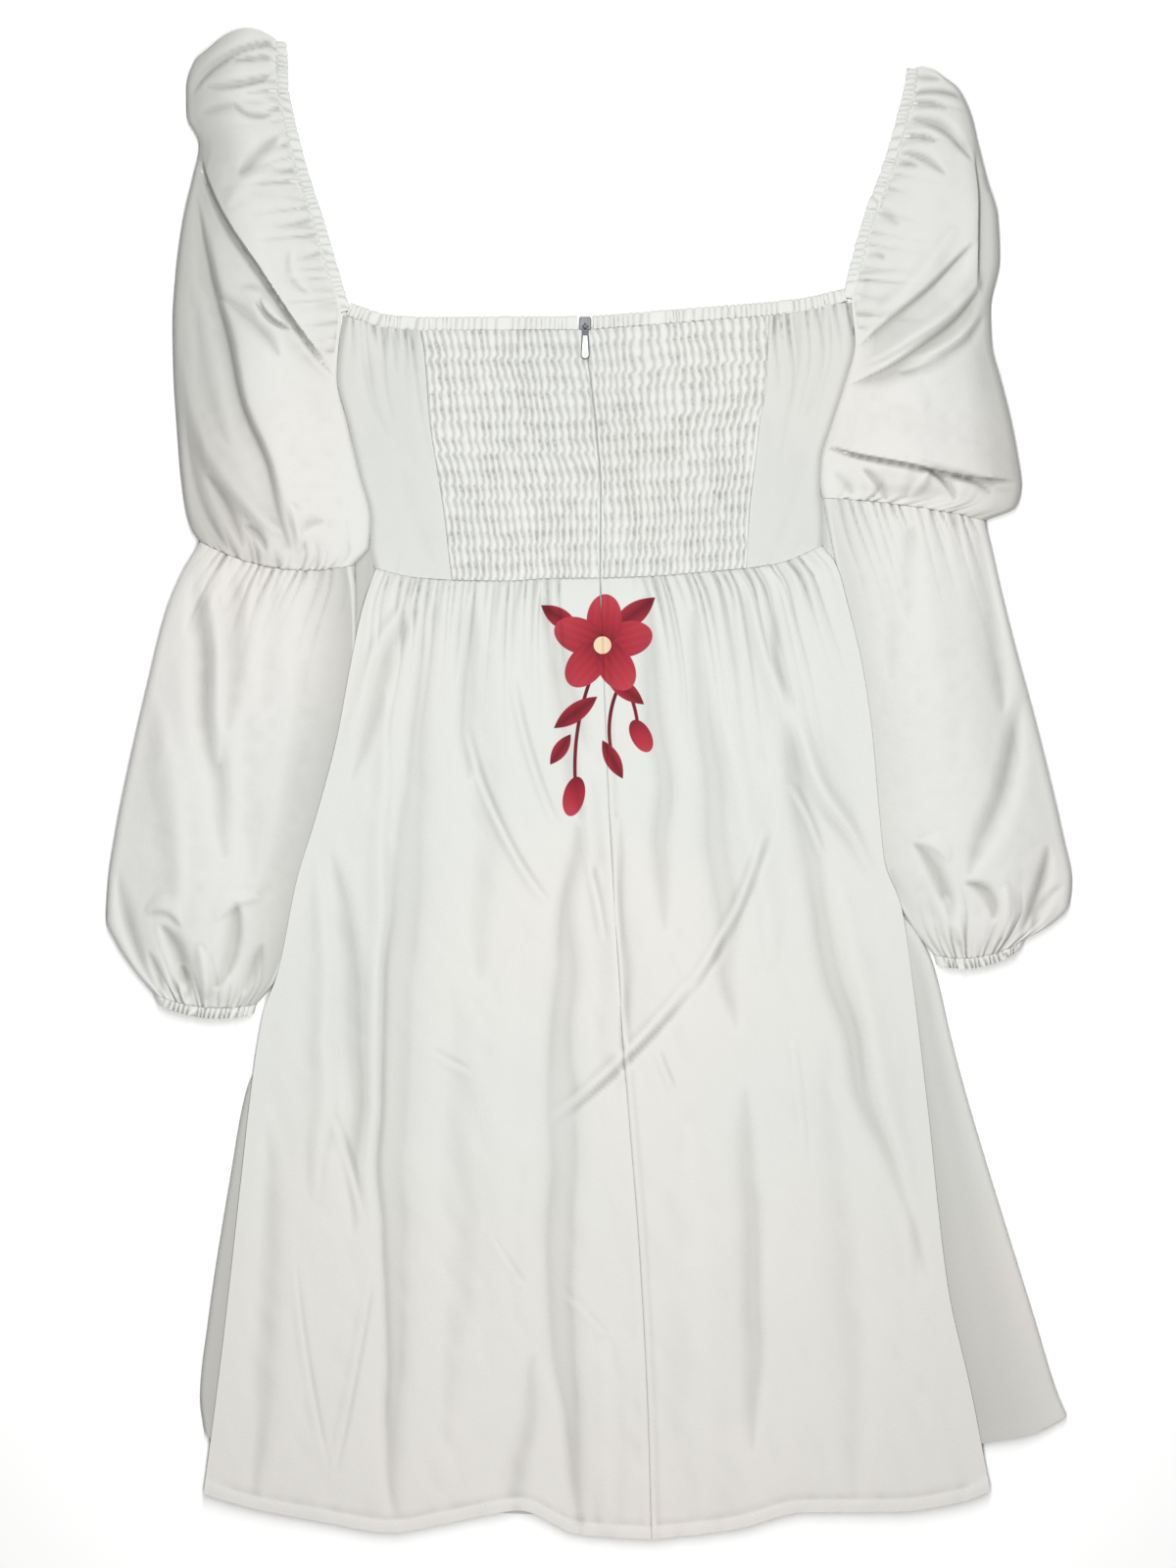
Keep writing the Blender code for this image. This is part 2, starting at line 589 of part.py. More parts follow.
def neck_band(name, line, material):
    length = sum(math.dist(a, b) for a, b in zip(line, line[1:]))
    steps = 2 * round(length / BAND_PITCH)
    flat = along(line, np.linspace(0, 1, steps + 1))
    height = np.full((steps + 1, 1), BACK_UNDER + BAND_THICK / 2)
    path = np.concatenate([flat, height], axis=1)
    upwards = np.tile((0.0, 0.0, 1.0), (steps + 1, 1))
    ridges = BAND_RISE * np.cos(math.pi * np.arange(steps + 1))
    return ribbon(name, path, across_path(path), upwards, BAND_WIDTH, BAND_THICK, ridges, material)


def neck_casing(name, rows, neck_side, material):
    # The casing runs up the back layer's neck edge, turns over the shoulder and comes down the front layer's
    Point = namedtuple("Point", "x y")
    edge = [Point(row.in_x, row.in_y) for row in reversed(rows)]
    edge[-1] = Point(edge[-1].x, edge[-1].y - CASING_STOP)
    length = sum(math.dist(a, b) for a, b in zip(edge, edge[1:]))
    steps = 2 * round(length / CASING_PITCH)
    flat = along(edge, np.linspace(0, 1, steps + 1))
    rising = np.concatenate([flat, np.zeros((steps + 1, 1))], axis=1)
    out = across_path(rising) * neck_side
    line = rising + out * (CASING_GAP + CASING_WIDTH / 2)
    top, low = CASING_TOP - CASING_THICK / 2, CASING_THICK / 2
    radius = (top - low) / 2
    angles = np.linspace(math.pi / 2, -math.pi / 2, TIP_STEPS + 2)[1:-1]
    turned = [(0, radius * math.cos(a), low + radius + radius * math.sin(a)) for a in angles]
    turn = line[-1] + np.array(turned)
    path = np.concatenate([line + (0, 0, top), turn, line[::-2] + (0, 0, low)])
    sideways = np.concatenate([out, np.tile(out[-1], (len(turn), 1)), out[::-2]])
    upwards = np.zeros_like(path)
    upwards[: steps + 1, 2] = 1
    upwards[steps + 1 : steps + 1 + len(turn)] = [(0, math.cos(a), math.sin(a)) for a in angles]
    upwards[steps + 1 + len(turn) :, 2] = -1
    ridges = np.zeros(len(path))
    ridges[: steps + 1] = BAND_RISE * np.cos(math.pi * np.arange(steps + 1))
    return ribbon(name, path, sideways, upwards, CASING_WIDTH, CASING_THICK, ridges, material)


def skirt_back(name, edges, gathers, outer_side, material):
    columns = 2 * gathers
    across = np.linspace(0, 1, columns + 1)
    down = np.linspace(0, 1, SKIRT_ROWS + 1) ** SKIRT_ROW_GROWTH
    places = patch(*edges, across, down)
    places = inset(places, top=SEAM, left=SEAM / 2, right=SEAM / 2)
    x, y = places[..., 0], places[..., 1]
    fallen = places[0, :, 1] - y
    loft = BACK_TOP + (SKIRT_LOFT - BACK_TOP) * np.clip(fallen / WAIST_EASE, 0, 1) ** WAIST_ROUND
    from_edge = np.abs(x - x[:, outer_side][:, None])
    inside = 1 - np.exp(-((from_edge / SIDE_FADE) ** 2))
    count = np.arange(columns + 1)
    sizes = 1 - GATHER_UNEVEN + GATHER_UNEVEN * np.cos(GATHER_BEAT * count)
    waves = GATHER_RISE * sizes * (0.5 + 0.5 * np.cos(math.pi * count))
    height = loft + inside * np.clip(fallen / FOLD_START, 0, 1) * fold_height(SKIRT_FOLDS, x, y)
    started = np.clip(GATHER_AT_SEAM + fallen / GATHER_START, 0, 1)
    height = height + waves * np.exp(-fallen / GATHER_RUN) * started
    return sheet_wall(name, places, height, material)


def turned_side(outline, tuck_to, top, rise, steps):
    # Half of a section of the front skirt, from the middle of its turned-up side down to the surface
    radius = top / 2
    way = math.copysign(1, tuck_to - outline)
    angles = np.linspace(math.pi / 2, -math.pi / 2, 4)
    turn_x = outline + way * radius * (1 - np.cos(angles))
    turn_z = radius * (1 + np.sin(angles))
    flap = np.linspace(0, 1, steps + 1)[:-1]
    flap_x = tuck_to + (outline + way * radius - tuck_to) * flap
    flap_z = top + rise * np.sin(math.pi * flap) ** 2
    return np.concatenate([flap_x, turn_x]), np.concatenate([flap_z, turn_z])


def skirt_front(name, material):
    depths = [-row.y for row in FRONT_OUTLINE]
    hem_x, hem_y = [point.x for point in FRONT_HEM], [point.y for point in FRONT_HEM]
    top = FRONT_OUTLINE[0].y
    sections = []
    for part in np.linspace(0, 1, FRONT_ROWS + 1):
        depth = depths[0] + (depths[-1] - depths[0]) * part
        places = [smooth(depths, [row[side] for row in FRONT_OUTLINE], depth) for side in range(1, 5)]
        left, right, tuck_left, tuck_right = [float(place) for place in places]
        bulge = FLAP_BULGE * min(1.0, (right - tuck_right) / FLAP_WIDE)
        x1, z1 = turned_side(left, tuck_left, FLAP_TOP, 0.0, 2)
        x2, z2 = turned_side(right, tuck_right, FLAP_TOP, bulge, 4)
        flat = np.linspace(x1[-1], x2[-1], 6)[1:-1]
        x = np.concatenate([x1, flat, x2[::-1]])
        z = np.concatenate([z1, np.zeros(4), z2[::-1]])
        hem = smooth(hem_x, hem_y, x)
        sections.append(np.stack([x, top + (hem - top) * part, z], axis=-1))
    outer = np.array(sections)
    normal = np.cross(np.gradient(outer, axis=1), np.gradient(outer, axis=0))
    normal[..., 1] = 0
    normal /= np.linalg.norm(normal, axis=-1, keepdims=True)
    middle = outer.shape[1] // 2
    normal *= -np.sign(normal[:, middle : middle + 1, 2:])
    return wall(name, outer, outer - normal * CLOTH, material)


def straight(a, b):
    return table("x y", (a[0], a[1]), (b[0], b[1]))


def bodice_front(name, material):
    # Plain and hidden, with its neckline just below the back's and its rows drawn down to its waist seam
    left, right = SIDE_EDGE_LEFT[1:], SIDE_EDGE_RIGHT[1:]
    across, down = np.linspace(0, 1, BODICE_COLUMNS + 1), np.linspace(0, 1, BODICE_ROWS + 1)
    places = patch(straight(left[0], right[0]), straight(left[-1], right[-1]), left, right, across, down)
    places = inset(places, left=SEAM, right=SEAM)
    top = FRONT_OUTLINE[0].y + SEAM
    places[-1, :, 1] = top
    above = places[:, :, 1] - top
    places[:, :, 1] = top + above * np.clip(above / FRONT_WAIST_EASE, 0, 1)
    height = np.full(places.shape[:2], FRONT_TOP)
    return sheet_wall(name, places, height, material)


def smock(name, left, right, waist, material):
    # Shirred back: ribs between rows of elastic, puckered into staggered cells, over a plain inside
    across = np.linspace(0, 1, SMOCK_COLUMNS + 1)
    down = np.linspace(0, 1, 2 * SMOCK_RIBS + 1)
    places = patch(straight(left[0], right[0]), waist, left, right, across, down)
    places = inset(places, top=SEAM, left=SEAM / 2, right=SEAM / 2)
    i, j = np.meshgrid(np.arange(len(down)), np.arange(len(across)), indexing="ij")
    rib = i % 2
    stagger = np.where((i // 2 + j) % 2 == 0, 1, -1)
    height = BACK_TOP - SMOCK_SINK + rib * (SMOCK_RISE + SMOCK_PUCKER * stagger)
    return flat_under(name, np.concatenate([places, height[..., None]], axis=-1), BACK_UNDER, material)


def bodice_side(name, edges, material):
    # Plain side of the back, with soft gathers below the neck band
    across, down = np.linspace(0, 1, SIDE_COLUMNS + 1), np.linspace(0, 1, SIDE_ROWS + 1)
    places = patch(*edges, across, down)
    places = inset(places, top=SEAM, left=SEAM / 2, right=SEAM / 2)
    fallen = places[0, :, 1] - places[..., 1]
    waves = SIDE_GATHER_RISE * (1 + np.cos(math.pi * np.arange(len(across))))
    height = BACK_TOP + waves * np.exp(-fallen / SIDE_GATHER_RUN)
    return sheet_wall(name, places, height, material)


def prism(outline, low, high, axis):
    # Extrudes a flat outline between two places on an axis: 0 for X, 2 for Z
    bm = bmesh.new()
    ends = []
    for level in (low, high):
        corners = [(level, a, b) if axis == 0 else (a, b, level) for a, b in outline]
        ends.append([bm.verts.new([value * MM for value in corner]) for corner in corners])
    bm.faces.new(ends[0])
    bm.faces.new(ends[1])
    for k in range(len(outline)):
        after = (k + 1) % len(outline)
        bm.faces.new((ends[0][k], ends[0][after], ends[1][after], ends[1][k]))
    return bm


def arc(centre, radius, start, end, steps):
    angles = np.linspace(math.radians(start), math.radians(end), steps + 1)
    return [(centre[0] + radius * math.cos(a), centre[1] + radius * math.sin(a)) for a in angles]


def join(piece, other):
    # Fuses a second shape into the first, and keeps the second as a hidden guide
    other.hide_render = True
    other.display_type = "WIRE"
    union = piece.modifiers.new("Join", "BOOLEAN")
    union.operation = "UNION"
    union.object = other


def zip_slider(metal):
    x, y = SLIDER_PLACE
    w, h, c = SLIDER_HALF_WIDTH, SLIDER_HALF_LENGTH, SLIDER_CORNER
    right_half = [(w - c, -h), (w, -h + c), (w, h - c), (w - c, h)]
    plate = right_half + [(-a, b) for a, b in reversed(right_half)]
    body = add_object("zip_slider", prism(plate, SLIDER_UNDER, SLIDER_TOP, 2), metal, (x, y, 0))
    foot = SLIDER_TOP - ARCH_ROOT - PIVOT_HEIGHT
    outside = [(ARCH_OUTER, foot)] + arc((0, 0), ARCH_OUTER, 0, 180, ARC_STEPS) + [(-ARCH_OUTER, foot)]
    inside = [(-ARCH_INNER, foot)] + arc((0, 0), ARCH_INNER, 180, 0, ARC_STEPS) + [(ARCH_INNER, foot)]
    arch = prism(outside + inside, -ARCH_HALF_WIDTH, ARCH_HALF_WIDTH, 0)
    join(body, add_object("slider_arch", arch, metal, (x, y - PIVOT_BACK, PIVOT_HEIGHT)))


def zip_pull(enamel):
    # A drop-shaped tab on two arms, hung on a pin through the slider's arch
    place = (SLIDER_PLACE[0], SLIDER_PLACE[1] - PIVOT_BACK, PIVOT_HEIGHT)
    r = TAB_HALF_WIDTH
    drop = arc((0, -TAB_LENGTH + r), r, 180, 360, ARC_STEPS)
    left_arm = [(-TAB_ARM_INNER, -TAB_SLOT), (-TAB_ARM_INNER, TAB_ARM_END), (-TAB_ARM_OUTER, TAB_ARM_END)]
    right_arm = [(-a, b) for a, b in reversed(left_arm)]
    outline = left_arm + [(-TAB_ARM_OUTER, -TAB_NECK)] + drop + [(TAB_ARM_OUTER, -TAB_NECK)] + right_arm
    tab = add_object("zip_pull", prism(outline, -TAB_HALF_THICK, TAB_HALF_THICK, 2), enamel, place)
    pin = prism(arc((0, 0), PIN_RADIUS, 0, 315, 7), -PIN_HALF_LENGTH, PIN_HALF_LENGTH, 0)
    join(tab, add_object("pull_pin", pin, enamel, place))


def build():
    for old in list(bpy.data.objects):
        bpy.data.objects.remove(old)
    cloth = finish("Off-white crepe", CLOTH_COLOUR, 0.75)
    metal = finish("Zip metal", METAL_COLOUR, 0.35, 1.0)
    enamel = finish("White enamel", ENAMEL_COLOUR, 0.3)

    skirt_front("skirt_front", cloth)
    left_edges = (WAIST_LEFT, HEM_LEFT, SKIRT_EDGE_LEFT, CENTRE_SEAM)
    right_edges = (WAIST_RIGHT, HEM_RIGHT, CENTRE_SEAM, SKIRT_EDGE_RIGHT)
    skirt_back("skirt_back_left", left_edges, SKIRT_GATHERS_LEFT, 0, cloth)
    skirt_back("skirt_back_right", right_edges, SKIRT_GATHERS_RIGHT, -1, cloth)

    bodice_front("bodice_front", cloth)
    waist_split_left = WAIST_LEFT[2]
    waist_split_right = WAIST_RIGHT[3]
    left_centre = WAIST_LEFT[2:]
    right_centre = WAIST_RIGHT[:4]
    left_smock_edge = SMOCK_EDGE_LEFT[:-1] + [waist_split_left]
    right_smock_edge = SMOCK_EDGE_RIGHT[:-1] + [waist_split_right]
    smock("smock_left", left_smock_edge, CENTRE_BACK, left_centre, cloth)
    smock("smock_right", CENTRE_BACK, right_smock_edge, right_centre, cloth)
    band_foot_left = table("x y", SIDE_EDGE_LEFT[0], (-121, 272), SMOCK_EDGE_LEFT[0])
    band_foot_right = table("x y", SMOCK_EDGE_RIGHT[0], (124, 280.6), SIDE_EDGE_RIGHT[0])
    left_side = (band_foot_left, WAIST_LEFT[:3], SIDE_EDGE_LEFT, left_smock_edge)
    right_side = (band_foot_right, WAIST_RIGHT[3:], right_smock_edge, SIDE_EDGE_RIGHT)
    bodice_side("bodice_side_left", left_side, cloth)
    bodice_side("bodice_side_right", right_side, cloth)
    neck_band("neck_band_left", BAND_LINE_LEFT, cloth)
    neck_band("neck_band_right", BAND_LINE_RIGHT, cloth)

    sleeve("sleeve_upper_left", UPPER_LEFT, SLEEVE_FOLDS_UPPER_LEFT, cloth, closed_tip=True)
    sleeve("sleeve_upper_right", UPPER_RIGHT, SLEEVE_FOLDS_UPPER_RIGHT, cloth, closed_tip=True)
    sleeve("sleeve_lower_left", LOWER_LEFT, SLEEVE_FOLDS_LOWER_LEFT, cloth)
    sleeve("sleeve_lower_right", LOWER_RIGHT, SLEEVE_FOLDS_LOWER_RIGHT, cloth)
    sleeve("cuff_left", CUFF_LEFT, [], cloth)
    sleeve("cuff_right", CUFF_RIGHT, [], cloth)
    neck_casing("neck_casing_left", UPPER_LEFT[:NECK_ROWS_LEFT], 1, cloth)
    neck_casing("neck_casing_right", UPPER_RIGHT[:NECK_ROWS_RIGHT], -1, cloth)

    zip_slider(metal)
    zip_pull(enamel)


build()
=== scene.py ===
# A babydoll dress laid flat with its back upwards: the looks of every piece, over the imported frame.
# Sizes are in millimetres and become metres when a mesh is made. X runs across, Y up to the neck.
import math
from collections import namedtuple

import bmesh
import bpy
import numpy as np
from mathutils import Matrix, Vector


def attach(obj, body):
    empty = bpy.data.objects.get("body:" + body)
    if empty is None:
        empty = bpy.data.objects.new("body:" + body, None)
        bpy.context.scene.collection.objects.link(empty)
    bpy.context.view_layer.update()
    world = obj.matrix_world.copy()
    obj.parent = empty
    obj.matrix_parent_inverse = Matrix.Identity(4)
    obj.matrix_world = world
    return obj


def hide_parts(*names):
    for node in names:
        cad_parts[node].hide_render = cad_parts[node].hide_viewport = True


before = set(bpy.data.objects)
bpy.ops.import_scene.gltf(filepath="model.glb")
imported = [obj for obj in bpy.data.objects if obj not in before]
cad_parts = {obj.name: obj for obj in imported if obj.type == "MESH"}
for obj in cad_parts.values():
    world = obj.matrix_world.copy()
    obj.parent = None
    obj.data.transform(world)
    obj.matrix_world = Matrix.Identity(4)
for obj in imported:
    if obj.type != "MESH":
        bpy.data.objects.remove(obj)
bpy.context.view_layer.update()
mm = 0.001
clothThick = 0.65
print("frame loaded with", len(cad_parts), "nodes")


# Small helpers: tables, curves, noise

def rows(columns, *values):
    Row = namedtuple("Row", columns)
    return [Row(*v) for v in values]


def easeCurve(knots, values, at):
    # smooth through the knots, never past them
    knots, values = np.asarray(knots, float), np.asarray(values, float)
    steps = np.diff(knots)
    slopes = np.diff(values) / steps
    tangents = np.concatenate([slopes[:1], np.zeros(len(knots) - 2), slopes[-1:]])
    sameWay = slopes[:-1] * slopes[1:] > 0
    means = 2 * slopes[:-1] * slopes[1:] / np.where(sameWay, slopes[:-1] + slopes[1:], 1)
    tangents[1:-1] = np.where(sameWay, means, 0)
    span = np.clip(np.searchsorted(knots, at, side="right") - 1, 0, len(steps) - 1)
    f = (np.asarray(at, float) - knots[span]) / steps[span]
    start, end = values[span], values[span + 1]
    lean = ((1 - f) * tangents[span] - f * tangents[span + 1]) * steps[span]
    return start + (end - start) * f * f * (3 - 2 * f) + f * (1 - f) * lean


def alongLine(points, at):
    places = np.array([p[:2] for p in points], float)
    run = np.concatenate([[0], np.cumsum(np.hypot(*np.diff(places, axis=0).T))])
    return np.stack([easeCurve(run / run[-1], places[:, k], at) for k in (0, 1)], axis=-1)


def lineLength(points):
    return sum(math.dist(a[:2], b[:2]) for a, b in zip(points, points[1:]))


def softNoise(x, y, size, seed):
    # smooth bumps from -1 to 1, about this size across
    lattice = np.random.default_rng(seed).uniform(-1, 1, (128, 128))
    gx, gy = np.asarray(x, float) / size + 64, np.asarray(y, float) / size + 64
    ix, iy = np.floor(gx).astype(int), np.floor(gy).astype(int)
    fx, fy = gx - ix, gy - iy
    fx, fy = fx * fx * (3 - 2 * fx), fy * fy * (3 - 2 * fy)
    ix, iy, jx, jy = ix % 128, iy % 128, (ix + 1) % 128, (iy + 1) % 128
    low = lattice[ix, iy] * (1 - fx) + lattice[jx, iy] * fx
    high = lattice[ix, jy] * (1 - fx) + lattice[jx, jy] * fx
    return low * (1 - fy) + high * fy


def boxBlur(field, reaches):
    # the mean over a window of this many steps each way, along both axes
    for axis, reach in enumerate(reaches):
        border = [(reach + 1, reach) if k == axis else (0, 0) for k in (0, 1)]
        total = np.cumsum(np.pad(field, border, mode="edge"), axis=axis)
        count, window = field.shape[axis], 2 * reach + 1
        ends = np.take(total, range(window, window + count), axis)
        field = (ends - np.take(total, range(count), axis)) / window
    return field


def hollowOf(height, reaches, depth):
    # 0 to 1: how far a place lies below the cloth around it, where less light comes in
    return np.clip((boxBlur(height, reaches) - height) / depth, 0, 1)


def panelPlaces(top, bottom, left, right, across, down):
    # places between four edges, in rows from the top edge to the bottom one
    upper, lower = alongLine(top, across), alongLine(bottom, across)
    west, east = alongLine(left, down), alongLine(right, down)
    d, s = down[:, None], across[None, :, None]
    west = west + (upper[0] - west[0]) * (1 - d) + (lower[0] - west[-1]) * d
    east = east + (upper[-1] - east[0]) * (1 - d) + (lower[-1] - east[-1]) * d
    d = down[:, None, None]
    corners = (upper[0] * (1 - s) + upper[-1] * s) * (1 - d) + (lower[0] * (1 - s) + lower[-1] * s) * d
    return upper * (1 - d) + lower * d + west[:, None] * (1 - s) + east[:, None] * s - corners


def insetPlaces(places, top=0.0, left=0.0, right=0.0):
    places = places.copy()
    places[0, :, 1] -= top
    places[:, 0, 0] += left
    places[:, -1, 0] -= right
    return places


# Folds: from (x0, y0) to (x1, y1), bowing towards its left hand as it runs up, spreading west and east of
# the line for one that runs down, high or deep, and leaning over to the east by some millimetres
foldColumns = "x0 y0 x1 y1 bow west east height lean"


def foldRelief(folds, x, y, wobble=0.0, seed=3):
    height, leanX, leanY = np.zeros(np.shape(x)), np.zeros(np.shape(x)), np.zeros(np.shape(x))
    drift = wobble * softNoise(x, y, 38.0, seed) if wobble else 0.0
    for fold in folds:
        runX, runY = fold.x1 - fold.x0, fold.y1 - fold.y0
        length = math.hypot(runX, runY)
        part = ((x - fold.x0) * runX + (y - fold.y0) * runY) / length**2
        side = ((y - fold.y0) * runX - (x - fold.x0) * runY) / length + drift
        side = side - 4 * fold.bow * part * (1 - part)
        ends = np.clip(1 - np.abs(2 * part - 1) ** 2.4, 0, 1)
        spread = np.where(side > 0, fold.east, fold.west) * (0.35 + 0.65 * ends)
        shape = ends**0.8 * np.exp(-((side / spread) ** 2))
        height += fold.height * shape
        leanX += fold.lean * shape * -runY / length
        leanY += fold.lean * shape * runX / length
    return height, leanX, leanY


def creaseRelief(creases, x, y):
    # thin pressed creases: a ridge with a groove beside it
    height = np.zeros(np.shape(x))
    for crease in creases:
        runX, runY = crease.x1 - crease.x0, crease.y1 - crease.y0
        length = math.hypot(runX, runY)
        part = ((x - crease.x0) * runX + (y - crease.y0) * runY) / length**2
        side = ((y - crease.y0) * runX - (x - crease.x0) * runY) / length
        side = side - 4 * crease.bow * part * (1 - part)
        ends = np.clip(1 - np.abs(2 * part - 1) ** 3, 0, 1)
        ridge = np.exp(-((side / crease.width) ** 2))
        groove = np.exp(-(((side - 1.9 * crease.width) / crease.width) ** 2))
        height += crease.height * ends * (ridge - 0.7 * groove)
    return height


def gatherList(count, rise, run, width, seed, gaps=()):
    # uneven gathers along a seam: at 0 to 1 of its length, how high, how long and how wide
    draw = np.random.default_rng(seed)
    found = []
    for k in range(count):
        at = (k + 0.5 + draw.uniform(-0.45, 0.45)) / count
        size, reach, breadth = draw.uniform(0.3, 1.2), draw.uniform(0.35, 1.6), draw.uniform(0.65, 1.45)
        if not any(low < at < high for low, high in gaps):
            found.append((at, rise * size, run * reach, width * breadth))
    return rows("at rise run width", *found)


gatherShape = {
    "sway": 1.2,
    "opening": 0.9,  # how much wider a gather gets along its run
    "fading": 1.3,
    "ridgeHigh": 0.62,  # these five are shares of a gather's rise and width
    "ridgeWide": 1.25,
    "pinchDeep": 0.45,
    "pinchWide": 0.42,
    "pinchAside": 1.7,
}


def gatherRelief(gathers, along, fallen, seamLength):
    # rounded ridges with a sharp pinch beside each, which open out as they run from the seam
    height = np.zeros(np.broadcast(along, fallen).shape)
    for g in gathers:
        sway = gatherShape["sway"] * np.sin(fallen / (9 + 40 * g.at) + 9 * g.at)
        width = g.width * (1 + gatherShape["opening"] * fallen / g.run)
        side = (along - g.at) * seamLength + sway
        fade = g.rise * np.exp(-((fallen / g.run) ** gatherShape["fading"]))
        ridge = np.exp(-((side / (gatherShape["ridgeWide"] * width)) ** 2))
        aside = np.abs(side - gatherShape["pinchAside"] * width)
        pinch = np.exp(-aside / (gatherShape["pinchWide"] * width))
        height += gatherShape["ridgeHigh"] * fade * ridge
        height -= gatherShape["pinchDeep"] * fade * pinch
    return height


# Meshes

def addMesh(name, points, faces, smooth=True, paintedShade=None):
    mesh = bpy.data.meshes.new(name)
    mesh.from_pydata((np.asarray(points, float) * mm).tolist(), [], [list(f) for f in faces])
    # painted shade: each point's share of darkening for the cloth's colour is kept as a point attribute
    if paintedShade is not None:
        values = np.zeros(len(mesh.vertices))
        values[: paintedShade.size] = paintedShade.ravel()
        mesh.attributes.new("paintedShade", "FLOAT", "POINT").data.foreach_set("value", values)
    mesh.validate()
    if smooth:
        mesh.shade_smooth()
        mesh.set_sharp_from_angle(angle=math.radians(72))
    piece = bpy.data.objects.new(name, mesh)
    bpy.context.scene.collection.objects.link(piece)
    return piece


def gridFaces(rowCount, columnCount, first=0, flip=False):
    i, j = np.meshgrid(np.arange(rowCount - 1), np.arange(columnCount - 1), indexing="ij")
    a = (first + i * columnCount + j).ravel()
    quads = np.stack([a, a + columnCount, a + columnCount + 1, a + 1], axis=1)
    return (quads[:, ::-1] if flip else quads).tolist()


def clothWall(name, outer, thick=clothThick, skip=2, plain=None, level=None, above=0.0, tip=None, inward=1,
             paintedShade=None):
    # a closed wall: the outer grid of places, a coarser one moved in by the cloth's thickness, and a rim.
    # Columns in `plain` keep their places inside and lie under the lowest place near them, or at a level
    normal = np.cross(np.gradient(outer, axis=0), np.gradient(outer, axis=1))
    normal /= np.maximum(np.linalg.norm(normal, axis=-1, keepdims=True), 1e-9)
    if tip:
        normal[0] *= (1, 0, 1)
    inner = outer - normal * thick * inward
    if plain:
        lowest = outer[..., 2]
        for axis in (0, 1):
            border = [(skip, skip) if k == axis else (0, 0) for k in (0, 1)]
            padded = np.pad(lowest, border, mode="edge")
            count = lowest.shape[axis]
            lowest = np.min([np.take(padded, range(k, k + count), axis) for k in range(2 * skip + 1)], axis=0)
        inner[:, plain, :2] = outer[:, plain, :2]
        inner[:, plain, 2] = np.maximum(lowest[:, plain] - thick, above) if level is None else level
    if tip:
        inner[0] -= (0, thick, 0)
    rowCount, columnCount = outer.shape[:2]
    inner = inner[::skip, ::skip]
    innerColumns = inner.shape[1]
    total = rowCount * columnCount
    faces = gridFaces(rowCount, columnCount) + gridFaces(*inner.shape[:2], total, flip=True)
    for run in rimRuns(rowCount, columnCount, skip, bool(tip)):
        ends = [total + (i // skip) * innerColumns + j // skip for i, j in (run[0], run[-1])]
        faces.append(ends + [i * columnCount + j for i, j in reversed(run)])
    if tip:
        turn, under, ratio = tip
        faces += tipFaces(turn, under, ratio, 0)
        faces += tipFaces(turn // skip, under // skip, ratio, total)
    points = np.concatenate([outer.reshape(-1, 3), inner.reshape(-1, 3)])
    return addMesh(name, points, faces, paintedShade=paintedShade)


def rimRuns(rowCount, columnCount, skip, tip):
    # the grid's border in runs of `skip` steps; a closed tip leaves the first row out
    last, side = rowCount - 1, columnCount - 1
    path = [(last, j) for j in range(columnCount)] + [(i, side) for i in range(last - 1, -1, -1)]
    back = [(i, 0) for i in range(rowCount)]
    if tip:
        paths = [path, [(0, side), (0, 0)], back]
    else:
        paths = [path + [(0, j) for j in range(side - 1, -1, -1)], back]
    runs = []
    for line in paths:
        step = min(skip, len(line) - 1)
        runs += [line[k : k + step + 1] for k in range(0, len(line) - 1, step)]
    return runs


def tipFaces(turn, under, ratio, first):
    # closes the first ring, pairing each step under the sleeve with `ratio` steps over it
    low = high = 2 * turn + under
    found = []
    for step in range(low):
        steps = ratio if turn <= step < turn + under else 1
        corners = [first + low, first + low - 1] + [first + high + k for k in range(steps, -1, -1)]
        found.append(corners[:-1] if corners[0] == corners[-1] else corners)
        low, high = low - 1, high + steps
    return found


def settleNormals(piece):
    bm = bmesh.new()
    bm.from_mesh(piece.data)
    bmesh.ops.recalc_face_normals(bm, faces=bm.faces)
    bm.to_mesh(piece.data)
    bm.free()


def clothArea(piece):
    return sum(p.area for p in piece.data.polygons) / 2


# Materials: shared effects are groups, and each finish places them with its own values

def groupShell(name, inputs, outputs):
    tree = bpy.data.node_groups.new(name, "ShaderNodeTree")
    for label, kind, value in inputs:
        socket = tree.interface.new_socket(label, in_out="INPUT", socket_type=kind)
        if value is not None:
            socket.default_value = value
    for label, kind in outputs:
        tree.interface.new_socket(label, in_out="OUTPUT", socket_type=kind)
    return tree, tree.nodes.new("NodeGroupInput"), tree.nodes.new("NodeGroupOutput")


def feed(tree, node, inputs):
    # another node's output is linked, and a plain value is set on the socket
    for key, value in inputs.items():
        if isinstance(value, bpy.types.NodeSocket):
            tree.links.new(value, node.inputs[key])
        else:
            node.inputs[key].default_value = value


def addNode(tree, kind, inputs=None, **settings):
    node = tree.nodes.new(kind)
    for key, value in settings.items():
        setattr(node, key, value)
    feed(tree, node, inputs or {})
    return node


def mathNode(tree, operation, a, b=None, clamp=False):
    given = {k: value for k, value in enumerate((a, b)) if value is not None}
    return addNode(tree, "ShaderNodeMath", given, operation=operation, use_clamp=clamp).outputs[0]


def noise(tree, place, scale, detail=2.0, distortion=0.0):
    given = {"Vector": place, "Scale": scale, "Detail": detail, "Distortion": distortion}
    return addNode(tree, "ShaderNodeTexNoise", given).outputs["Fac"]


def remap(tree, value, fromMin, fromMax, toMin=0.0, toMax=1.0, curve="LINEAR"):
    given = {"Value": value, "From Min": fromMin, "From Max": fromMax, "To Min": toMin, "To Max": toMax}
    return addNode(tree, "ShaderNodeMapRange", given, interpolation_type=curve).outputs[0]


